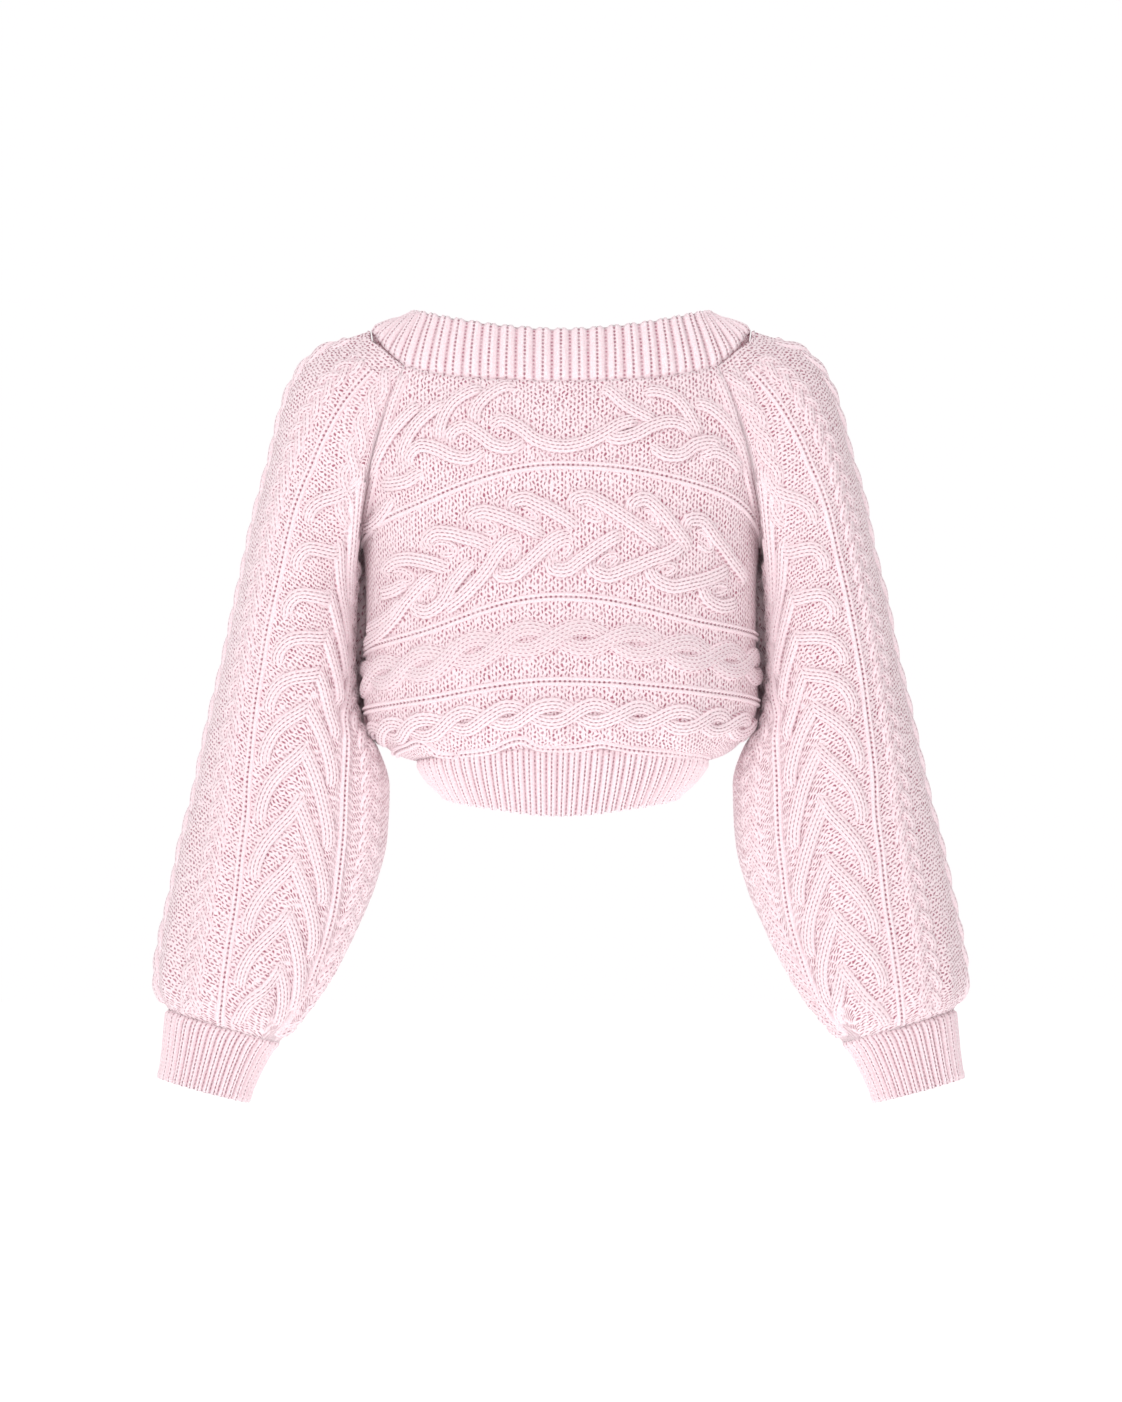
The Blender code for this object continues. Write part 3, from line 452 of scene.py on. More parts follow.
def body_point(angle: np.ndarray, drop: np.ndarray) -> np.ndarray:
    """Point of the body's form: angle 0 is the middle of the back, 90 degrees the side."""
    power = 2.0 / SECTION_POWER
    sine, cosine = np.sin(angle), np.cos(angle)
    depth = np.where(cosine > 0.0, body_size(drop, 2), body_size(drop, 3))
    x = body_size(drop, 1) * np.sign(sine) * np.abs(sine) ** power
    y = -depth * np.sign(cosine) * np.abs(cosine) ** power
    return np.stack((x, y, -drop + 0.0 * x), axis=-1)


def body_angle(reach: np.ndarray, drop: np.ndarray, on_front: bool) -> np.ndarray:
    """Angle at which the body's form has a given reach."""
    share = np.clip(reach / body_size(drop, 1), 0.0, 1.0)
    angle = np.arcsin(share ** (SECTION_POWER / 2.0))
    return math.pi - angle if on_front else angle


def line_drop(position: np.ndarray, station: np.ndarray) -> np.ndarray:
    """Drop of the knit rows at a place between lines and a station across the back."""
    position, station = np.broadcast_arrays(np.asarray(position, float), np.asarray(station, float))
    drops = through(station, LINE_STATIONS, np.array(BACK_LINES).T)
    first = np.clip(position.astype(int), 0, len(BACK_LINES) - 2)
    share = position - first
    above = np.take_along_axis(drops, first[..., None], -1)[..., 0]
    below = np.take_along_axis(drops, first[..., None] + 1, -1)[..., 0]
    return above * (1.0 - share) + below * share


WAVES = 7
WAVE_TURN = 0.09           # most radians a wave turns over one unit of u or v
WAVES_TOTAL = 2.6          # usual height of seven waves together


def waves(u: np.ndarray, v: np.ndarray, seed: int, height: float) -> np.ndarray:
    """Soft unevenness of hand-finished cloth, from a few slow waves."""
    random = np.random.default_rng(seed)
    total = 0.0 * (u + v)
    for _ in range(WAVES):
        along, across = random.uniform(-WAVE_TURN, WAVE_TURN, 2)
        total = total + np.sin(u * along + v * across + random.uniform(0.0, 6.3))
    return height * total / WAVES_TOTAL


SQUASHED = 0.04            # least share of a full cell that a sheared cell of a chart counts as
OUTLIER = (2.5, 0.15)      # shares of the usual change of one number, and of both, that a change may be


class Surface:
    """A face of cloth. Its two numbers (u, v) run over its range; u comes back on itself on a tube."""

    u_range = (0.0, 1.0)
    v_range = (0.0, 1.0)
    tube = False
    pleated = False            # a sleeve's gathers are small, and its stitches run round it
    turn = 1.0
    lip = 0.0                  # how far a strand may reach over the first edge

    def base(self, u: np.ndarray, v: np.ndarray) -> np.ndarray:
        """Point of the plain form."""
        raise NotImplementedError

    def relief(self, u: np.ndarray, v: np.ndarray) -> np.ndarray:
        """Height of gathers and creases above the plain form."""
        return 0.0 * (u + v)

    def places(self, columns: int, rows: int) -> list[np.ndarray]:
        """Both numbers of a grid of places all over the face."""
        return np.meshgrid(np.linspace(*self.u_range, columns), np.linspace(*self.v_range, rows))

    def steps(self) -> tuple[float, float]:
        """Small steps in u and v over which directions are taken."""
        return ((self.u_range[1] - self.u_range[0]) / 900.0, (self.v_range[1] - self.v_range[0]) / 900.0)

    def sides(self, place: Callable, u: np.ndarray, v: np.ndarray) -> np.ndarray:
        """Direction out of a form, from its slopes in u and v.

        Args:
            place: function of u and v that gives the form's points.
            u: first number of each place.
            v: second number of each place.

        Returns:
            Unit vectors away from the wearer.
        """
        du, dv = self.steps()
        low_u, high_u = (u - du, u + du) if self.tube else (
            np.clip(u - du, *self.u_range), np.clip(u + du, *self.u_range))
        low_v, high_v = np.clip(v - dv, *self.v_range), np.clip(v + dv, *self.v_range)
        across = place(high_u, v) - place(low_u, v)
        down = place(u, high_v) - place(u, low_v)
        return unit(np.cross(across, down)) * self.turn

    def point(self, u: np.ndarray, v: np.ndarray) -> np.ndarray:
        """Point of the cloth's outer face."""
        return self.base(u, v) + self.sides(self.base, u, v) * self.relief(u, v)[..., None]

    def out(self, u: np.ndarray, v: np.ndarray) -> np.ndarray:
        """Unit vectors out of the cloth's outer face."""
        return self.sides(self.point, u, v)

    def chart(self, path: np.ndarray) -> np.ndarray:
        """Smooth pair of numbers for each place (u, v) of a path."""
        return path

    def on_chart(self, places: np.ndarray) -> np.ndarray:
        """Point of the plain form at pairs of the chart's numbers."""
        return self.base(places[..., 0], places[..., 1])

    def chart_steps(self) -> tuple[float, float]:
        """Small steps of the chart's two numbers."""
        return self.steps()

    def kept_on(self, places: np.ndarray) -> np.ndarray:
        """Places moved back onto the face where they have run off it."""
        kept = places.copy()
        kept[..., 1] = np.clip(kept[..., 1], self.v_range[0] - self.lip, self.v_range[1])
        return kept

    def per_millimetre(self, places: np.ndarray, sideways: np.ndarray) -> np.ndarray:
        """Change of the chart's numbers for each millimetre sideways from places on it."""
        steps = self.chart_steps()
        by = []
        for axis in (0, 1):
            move = np.zeros(2)
            move[axis] = steps[axis]
            low, high = self.kept_on(places - move), self.kept_on(places + move)
            apart = np.maximum((high - low)[:, axis], 1e-9)
            by.append((self.on_chart(high) - self.on_chart(low)) / apart[:, None])
        uu, uv, vv = (by[0] * by[0]).sum(1), (by[0] * by[1]).sum(1), (by[1] * by[1]).sum(1)
        on_u, on_v = (by[0] * sideways).sum(1), (by[1] * sideways).sum(1)
        area = np.maximum(uu * vv - uv * uv, SQUASHED * uu * vv + 1e-9)
        change = np.stack(((on_u * vv - on_v * uv) / area, (on_v * uu - on_u * uv) / area), axis=1)
        size = np.abs(change)
        limit = OUTLIER[0] * np.median(size, axis=0) + OUTLIER[1] * np.median(size.sum(axis=1))
        return np.clip(change, -limit, limit)

    def face_outwards(self) -> None:
        """Set which way is out, from where the form's points lie round the body's axis."""
        u, v = self.places(24, 12)
        points = self.base(u, v)
        out = self.sides(self.base, u, v)
        if self.tube:
            away = points - points.mean(axis=1, keepdims=True)
        else:
            away = points * np.array((1.0, 1.0, 0.0))
        self.turn = 1.0 if (out * away).sum() > 0.0 else -1.0


class BodySurface(Surface):
    """A face on the body's form, whose chart is the angle round it and the drop."""

    def chart_steps(self) -> tuple[float, float]:
        """Small steps of angle and drop."""
        return (0.004, 0.6)

    def chart(self, path: np.ndarray) -> np.ndarray:
        """Angle and drop of each place (u, v) of a path."""
        points = self.base(path[:, 0], path[:, 1])
        drop = -points[:, 2]
        depth = np.where(points[:, 1] < 0.0, body_size(drop, 2), body_size(drop, 3))
        power = SECTION_POWER / 2.0
        sine = np.sign(points[:, 0]) * (np.abs(points[:, 0]) / body_size(drop, 1)) ** power
        cosine = -np.sign(points[:, 1]) * (np.abs(points[:, 1]) / depth) ** power
        return np.stack((np.arctan2(sine, cosine), drop), axis=1)

    def on_chart(self, places: np.ndarray) -> np.ndarray:
        """Point of the body's form."""
        return body_point(places[..., 0], places[..., 1])

    def kept_on(self, places: np.ndarray) -> np.ndarray:
        """Angles and drops, which never run off the body's form."""
        return places


class BackSurface(BodySurface):
    """The back: u is the station from left edge to right, v the knit line from neck seam to hem seam."""

    u_range = (-1.0, 1.0)
    v_range = (0.0, 4.0)

    def __init__(self) -> None:
        """Work out its raglan edges and which way is out."""
        edge = line_drop(ARMHOLE_POSITIONS, 1.0)
        self.edges = np.append(body_angle(read(RAGLAN_BACK, edge), edge, False)[:-1], math.pi / 2.0)
        self.face_outwards()

    def base(self, u: np.ndarray, v: np.ndarray) -> np.ndarray:
        """Point of the plain form."""
        return body_point(self.widest(v) * u, line_drop(v, u))

    def widest(self, v: np.ndarray) -> np.ndarray:
        """Angle of the raglan and side edges."""
        return through(np.clip(v, 0.0, 1.0), ARMHOLE_POSITIONS, self.edges)

    def locate(self, pixels: Sequence[tuple[float, float]]) -> np.ndarray:
        """Places (u, v) of those pixels of the photograph, taken straight on, that lie on the back."""
        reach = np.array([(x - PHOTO_MIDDLE) * PHOTO_SCALE for x, _ in pixels])
        drop = np.array([(y - PHOTO_TOP) * PHOTO_SCALE for _, y in pixels])
        angle = np.sign(reach) * body_angle(np.abs(reach), drop, False)
        u = angle / (math.pi / 2.0)
        v = 0.0 * u
        for _ in range(20):
            lines = through(np.clip(u, -1.0, 1.0), LINE_STATIONS, np.array(BACK_LINES).T)
            v = np.array([np.interp(at, line, range(len(line))) for at, line in zip(drop, lines)])
            u = angle / self.widest(v)
        on_it = (np.abs(u) < 1.01) & (np.abs(reach) < body_size(drop, 1))
        return np.stack((u, v), axis=1)[on_it]

    def relief(self, u: np.ndarray, v: np.ndarray) -> np.ndarray:
        """Gathers over the hem band and a slight unevenness."""
        points = self.base(u, v)
        above_hem = line_drop(4.0, u) + points[..., 2]
        total = waves(points[..., 0], points[..., 2], 3, 0.35)
        for reach, half_width, height in HEM_GATHERS:
            hump = np.exp(-((points[..., 0] - reach) / half_width) ** 2)
            total = total + height * hump * np.exp(-(above_hem / GATHER_FADE) ** 2)
        near_seams = np.clip(np.minimum(v, 4.0 - v) / SEAM_FADE, 0.0, 1.0)
        return total * near_seams * np.clip((1.0 - np.abs(u)) / SEAM_FADE, 0.0, 1.0)


class FrontSurface(BodySurface):
    """One front: u runs from its raglan and side seam to the band, v down its knit lines.

    Args:
        side: 1 for the right, -1 for the left.
    """

    v_range = (0.0, 4.0)

    def __init__(self, side: int) -> None:
        """Work out its raglan edge and which way is out."""
        self.side = side
        drop = self.edge_drop(np.array(ARMHOLE_POSITIONS))
        self.edges = np.append(body_angle(read(RAGLAN_FRONT, drop), drop, True)[:-1], math.pi / 2.0)
        self.face_outwards()

    def edge_drop(self, v: np.ndarray) -> np.ndarray:
        """Drop of the raglan and side edge."""
        drop = line_drop(v, float(self.side))
        first, armpit = float(line_drop(0.0, float(self.side))), float(line_drop(1.0, float(self.side)))
        top = RAGLAN_FRONT[0][0]
        return np.where(v < 1.0, top + (drop - first) / (armpit - first) * (armpit - top), drop)

    def base(self, u: np.ndarray, v: np.ndarray) -> np.ndarray:
        """Point of the plain form."""
        drop = self.edge_drop(v)
        top, bottom = RAGLAN_FRONT[0][0], float(line_drop(4.0, float(self.side)))
        start = through(np.clip(v, 0.0, 1.0), ARMHOLE_POSITIONS, self.edges)
        share = (drop - top) / (bottom - top)
        band_drop = FRONT_SEAM[0][0] + share * (FRONT_SEAM[-1][0] - FRONT_SEAM[0][0])
        end = body_angle(read(FRONT_SEAM, band_drop), band_drop, True)
        points = body_point(start + (end - start) * u, drop + (band_drop - drop) * u)
        return points * mirror(self.side)

    def relief(self, u: np.ndarray, v: np.ndarray) -> np.ndarray:
        """A slight unevenness."""
        points = self.base(u, v)
        inside = np.clip(np.minimum(np.minimum(u, 1.0 - u), np.minimum(v, 4.0 - v)) / SEAM_FADE, 0.0, 1.0)
        return waves(points[..., 1], points[..., 2], 5 + self.side, 0.35) * inside


class SleeveSurface(Surface):
    """One sleeve: u is the level angle from its outer line round the back, v the distance down it.

    Args:
        side: 1 for the right, -1 for the left.
        back: the back, which it is sewn to.
        front: the front, which it is sewn to.
    """

    u_range = (-180.0, 180.0)
    tube = True
    pleated = True

    # Pleats over the cuff: level angle, half width in degrees, height, how far up they reach
    PLEATS = (
        (-172.0, 9.0, 4.0, 40.0), (-141.0, 8.0, 5.0, 52.0), (-113.0, 10.0, 4.0, 46.0),
        (-84.0, 7.0, 5.0, 60.0), (-57.0, 9.0, 4.0, 44.0), (-24.0, 8.0, 4.5, 55.0), (4.0, 7.0, 4.0, 42.0),
        (33.0, 8.0, 5.0, 58.0), (58.0, 6.0, 3.5, 38.0), (79.0, 7.0, 5.0, 62.0), (103.0, 7.0, 4.5, 48.0),
        (124.0, 6.0, 4.0, 56.0), (149.0, 8.0, 4.5, 45.0),
    )

    PLEAT_TOP = 14.0           # the pleats are highest this far above the cuff
    CUFF_FADE = (3.0, 20.0)    # they start this far above it, and are full over this distance
    # The front of the inner side lies close to the body, from and to a level and a drop, each with its fade
    CLOSE_LEVELS = ((112.0, 34.0), (180.0, 12.0))
    CLOSE_DROPS = ((178.0, 22.0), (362.0, 40.0))
    CLOSE_GAP = 3.0

    def __init__(self, side: int, back: BackSurface, front: FrontSurface) -> None:
        """Work out its length and how its head meets the armhole."""
        self.side = side
        self.back = back
        self.front = front
        rings = np.array(SLEEVE_RINGS)
        middles = (rings[:, 0:2] + rings[:, 2:4]) / 2.0
        self.length = (arc(middles, 0) + arc(rings[:, :2], 0)) / 2.0
        self.v_range = (0.0, float(self.length[-1]))
        self.levels = np.linspace(-180.0, 180.0, 361)
        self.offset = self.armhole(self.levels) - self.ring(0.0 * self.levels, self.levels)
        self.face_outwards()

    def steps(self) -> tuple[float, float]:
        """Small steps in u and v over which directions are taken."""
        return (0.5, 1.0)

    def armhole(self, level: np.ndarray) -> np.ndarray:
        """Points of a right sleeve's armhole, shared with the back, the fronts and the neck band."""
        at = np.abs(level)
        position = np.interp(at, ARMHOLE_LEVELS, ARMHOLE_POSITIONS)
        on_back = self.back.base(0.0 * position + self.side, position) * mirror(self.side)
        on_front = self.front.base(0.0 * position, position) * mirror(self.side)
        edge = np.where((level >= 0.0)[:, None], on_back, on_front)
        top = np.array(SLEEVE_HEAD_TOP)
        zero = np.zeros(1)
        behind = self.back.base(zero + self.side, zero)[0] * mirror(self.side)
        ahead = self.front.base(zero, zero)[0] * mirror(self.side)
        share = np.clip(at / ARMHOLE_LEVELS[0], 0.0, 1.0)
        head_back = through(share, (0.0, 0.5, 1.0), (top, SLEEVE_HEAD_BACK, behind))
        head_front = through(share, (0.0, 0.5, 1.0), (top, SLEEVE_HEAD_FRONT, ahead))
        head = np.where((level >= 0.0)[:, None], head_back, head_front)
        return np.where((at < ARMHOLE_LEVELS[0])[:, None], head, edge)

    def ring(self, ring: np.ndarray, level: np.ndarray) -> np.ndarray:
        """Points of a right sleeve's rings."""
        size = through(ring, range(len(SLEEVE_RINGS)), SLEEVE_RINGS)
        at = np.abs(level)
        lines = size[..., 7:10]
        knots = np.array((0.0, *LINE_LEVELS, 180.0))
        ends = np.concatenate((0.0 * lines[..., :1], lines, 0.0 * lines[..., :1] + 180.0), axis=-1)
        angle = np.radians(self.bent(at, knots, ends))
        depth = np.where(level < 0.0, size[..., 5], -size[..., 4]) * np.sin(angle)
        outer = np.stack((size[..., 0], size[..., 6], -size[..., 1]), axis=-1)
        inner = np.stack((size[..., 2], size[..., 6], -size[..., 3]), axis=-1)
        points = (outer + inner) / 2.0 + (outer - inner) / 2.0 * np.cos(angle)[..., None]
        points[..., 1] += depth
        return points

    @staticmethod
    def bent(at: np.ndarray, knots: np.ndarray, ends: np.ndarray) -> np.ndarray:
        """Smooth curve through knots whose values differ from place to place."""
        step = np.diff(knots)
        rise = np.diff(ends, axis=-1) / step
        slope = np.concatenate((rise[..., :1],
                                2.0 * rise[..., :-1] * rise[..., 1:] / (rise[..., :-1] + rise[..., 1:]),
                                rise[..., -1:]), axis=-1)
        place = np.clip(np.searchsorted(knots, at, side="right") - 1, 0, len(knots) - 2)
        t = np.clip((at - knots[place]) / step[place], 0.0, 1.0)

        def pick(values: np.ndarray, shift: int) -> np.ndarray:
            """Value of each place's own knot."""
            return np.take_along_axis(values, (place + shift)[..., None], -1)[..., 0]

        return hermite(t, step[place], (pick(ends, 0), pick(ends, 1)), (pick(slope, 0), pick(slope, 1)))

    def base(self, u: np.ndarray, v: np.ndarray) -> np.ndarray:
        """Point of the plain form."""
        u, v = np.broadcast_arrays(np.asarray(u, float), np.asarray(v, float))
        u = np.mod(u + 180.0, 360.0) - 180.0
        ring = through(v, self.length, np.arange(len(self.length), dtype=float))
        points = self.ring(ring, u)
        fade = np.clip(1.0 - ring / HEAD_FADE_RINGS, 0.0, 1.0)
        start = np.stack([np.interp(u, self.levels, self.offset[:, k]) for k in range(3)], axis=-1)
        points = points + start * (fade * fade * (3.0 - 2.0 * fade))[..., None]
        drop = np.clip(-points[..., 2], BODY_SECTIONS[0][0], BODY_SECTIONS[-1][0])
        depth = np.where(points[..., 1] < 0.0, body_size(drop, 2), body_size(drop, 3))
        share = np.clip(np.abs(points[..., 1]) / depth, 0.0, 1.0)
        side = body_size(drop, 1) * (1.0 - share ** SECTION_POWER) ** (1.0 / SECTION_POWER)
        gap = BODY_CLEARANCE * np.clip(v / ARMHOLE_FADE, 0.0, 1.0)
        points[..., 0] = np.maximum(points[..., 0], side + gap)
        near = within(-u, *self.CLOSE_LEVELS) * within(drop, *self.CLOSE_DROPS)
        points[..., 0] += near * np.minimum(0.0, side + self.CLOSE_GAP - points[..., 0])
        return points * mirror(self.side)

    def relief(self, u: np.ndarray, v: np.ndarray) -> np.ndarray:
        """Pleats over the cuff and a slight unevenness."""
        u, v = np.broadcast_arrays(np.asarray(u, float), np.asarray(v, float))
        left = self.v_range[1] - v
        total = waves(u, v, 11 + self.side, 0.4) * np.clip(v / ARMHOLE_FADE, 0.0, 1.0)
        for level, half_width, height, up in self.PLEATS:
            apart = np.mod(u - level * self.side + 180.0, 360.0) - 180.0
            reach = np.exp(-((left - self.PLEAT_TOP) / up) ** 2)
            total = total + height * np.exp(-(apart / half_width) ** 2) * reach
        return total * np.clip((left - self.CUFF_FADE[0]) / self.CUFF_FADE[1], 0.0, 1.0)


class CuffSurface(Surface):
    """One cuff: u is the share of the way round it, v the share of its length from the sleeve down.

    Args:
        sleeve: the sleeve that it draws in.
    """

    tube = True
    lip = 0.06

    def __init__(self, sleeve: SleeveSurface) -> None:
        """Take over the sleeve's end, and find its points' angles on the cuff."""
        self.side = sleeve.side
        levels = np.linspace(-180.0, 180.0, 241)
        top = sleeve.base(levels, 0.0 * levels + sleeve.v_range[1]) * mirror(self.side)
        self.shares = np.linspace(0.0, 1.0, 481)
        self.top = polyline(top, self.shares)
        self.around = arc(top, 0)[-1]
        outer, inner, depth = self.ring(np.zeros(1))
        arm, away = (outer - inner)[0] / 2.0, self.top - (outer + inner)[0] / 2.0
        self.angle = np.unwrap(np.arctan2(-away[:, 1] / depth[0], (away @ arm) / (arm @ arm)))
        self.face_outwards()

    @staticmethod
    def ring(v: np.ndarray) -> tuple[np.ndarray, np.ndarray, np.ndarray]:
        """Outer point, inner point and half depth of a right cuff's rings."""
        size = through(v * (len(CUFF_RINGS) - 1), range(len(CUFF_RINGS)), CUFF_RINGS)
        outer = np.stack((size[..., 0], size[..., 5], -size[..., 1]), axis=-1)
        inner = np.stack((size[..., 2], size[..., 5], -size[..., 3]), axis=-1)
        return outer, inner, size[..., 4]

    def base(self, u: np.ndarray, v: np.ndarray) -> np.ndarray:
        """Point of the plain form."""
        u, v = np.broadcast_arrays(np.asarray(u, float), np.asarray(v, float))
        u = np.mod(u, 1.0)
        angle = np.interp(u, self.shares, self.angle)
        top = np.stack([np.interp(u, self.shares, self.top[:, k]) for k in range(3)], axis=-1)

        def place(at: np.ndarray) -> np.ndarray:
            """Point of the rings at the same angle."""
            outer, inner, depth = self.ring(at)
            points = (outer + inner) / 2.0 + (outer - inner) / 2.0 * np.cos(angle)[..., None]
            points[..., 1] -= depth * np.sin(angle)
            return points

        stay = np.clip(1.0 - 3.0 * v, 0.0, 1.0)[..., None]
        points = place(v) + (top - place(0.0 * v)) * stay
        return points * mirror(self.side)


class BandSurface(Surface):
    """One stretch of the band: u is the share along it, v the share from its seam to its free edge.

    Args:
        name: its CAD node.
        seam: points of its seam, in order.
    """

    def __init__(self, name: str, seam: np.ndarray) -> None:
        """Find its length and which way it bulges."""
        self.repeat, self.first, self.last = BAND_STRETCHES[name]
        self.seam = seam
        self.length = arc(seam, 0)[-1]
        self.lip = 0.12 if name in ("band_neck", "band_hem") else 0.02
        self.way = 1.0
        line = np.linspace(0.05, 0.95, 40)
        start, middle, end = (self.base(line, 0.0 * line + share) for share in (0.0, 0.5, 1.0))
        bulge = middle - (start + end) / 2.0
        away = start * np.array((1.0, 1.0, 0.0))
        self.way = 1.0 if (bulge * away).sum() > 0.0 else -1.0
        self.face_outwards()

    @staticmethod
    def edge(shares: np.ndarray) -> np.ndarray:
        """Points of the free edge at shares of the loop: 0 mid neck, 1 mid hem, 2 the neck again."""
        around = np.mod(shares, 2.0)
        side = np.where(around > 1.0, -1.0, 1.0)
        half = np.where(around > 1.0, 2.0 - around, around)
        before, after = BAND_EDGE[1], BAND_EDGE[-2]
        rows = ((-before[0], -before[1], *before[2:]), *BAND_EDGE, (2.0 - after[0], -after[1], *after[2:]))
        sizes = through(half, [row[0] for row in rows], [row[1:] for row in rows])
        return np.stack((side * sizes[..., 0], sizes[..., 1], -sizes[..., 2]), axis=-1)

    def base(self, u: np.ndarray, v: np.ndarray) -> np.ndarray:
        """Point of the plain form, which bulges a little between its seam and its edge."""
        u, v = np.broadcast_arrays(np.asarray(u, float), np.asarray(v, float))
        start = polyline(self.seam, u)
        free = self.edge(self.first + (self.last - self.first) * u)
        after, before = (polyline(self.seam, np.clip(u + step, 0.0, 1.0)) for step in (0.004, -0.004))
        outward = unit(np.cross(after - before, free - start)) * self.way
        bulge = BAND_BULGE * 4.0 * v * (1.0 - v)
        return start * (1.0 - v)[..., None] + free * v[..., None] + outward * bulge[..., None]


@dataclass
class Strand:
    """One cord of knitting on a surface.

    Args:
        path: places (u, v) of its middle, closely spaced.
        width: its width.
        height: how far it rises.
        wales: ribs of stitches side by side on it.
        lift: extra height at each place of the path.
        sway: sideways distance from the path at each place.
        tucked: whether its ends dip under the ground.
    """

    path: np.ndarray
    width: float
    height: float
    wales: int = 4
    lift: np.ndarray | None = None
    sway: np.ndarray | None = None
    tucked: bool = True


STEP = 2.5                 # distance between cross-sections of a strand
EYE_STEP = 1.6             # and between those of a small loop
BURIED = 1.6               # depth under the ground of a strand's edges
TUCK_LENGTH = 0.75         # share of its width over which a tucked end dips
TUCK_WIDTH = 0.72          # share of its width that the end keeps
TUCK_RISE = 0.35           # and of its height
TUCK_DEPTH = 2.2           # how far the end goes under
RIDGE_WIDTH = 8.5
RIDGE_RISE = 2.6

# Cross-sections as (share of the half width, share of the height); below 0 is under the ground
RIDGE_SECTION = ((-1.0, -0.35), (-0.80, 0.55), (-0.55, 1.0), (-0.28, 0.80), (0.0, 0.12), (0.28, 0.80),
                 (0.55, 1.0), (0.80, 0.55), (1.0, -0.35))
CHAIN_SECTION = ((-1.0, -0.3), (-0.7, 0.8), (-0.35, 1.0), (0.0, 0.35), (0.35, 1.0), (0.7, 0.8), (1.0, -0.3))


def strand_section(wales: int) -> tuple[tuple[float, float], ...]:
    """Cross-section of a strand with a groove between its wales."""
    rows = [(-1.0, -0.45)]
    for index in range(wales):
        for share, crest in ((0.0, 0.0), (0.30, 1.0), (0.70, 1.0)):
            x = -0.94 + 1.88 * (index + share) / wales
            dome = 1.0 - 0.62 * abs(x) ** 2.6
            rows.append((x, dome - 0.20 * (1.0 - crest)))
    rows.append((0.94, 1.0 - 0.62 * 0.94 ** 2.6 - 0.20))
    rows.append((1.0, -0.45))
    return tuple(rows)


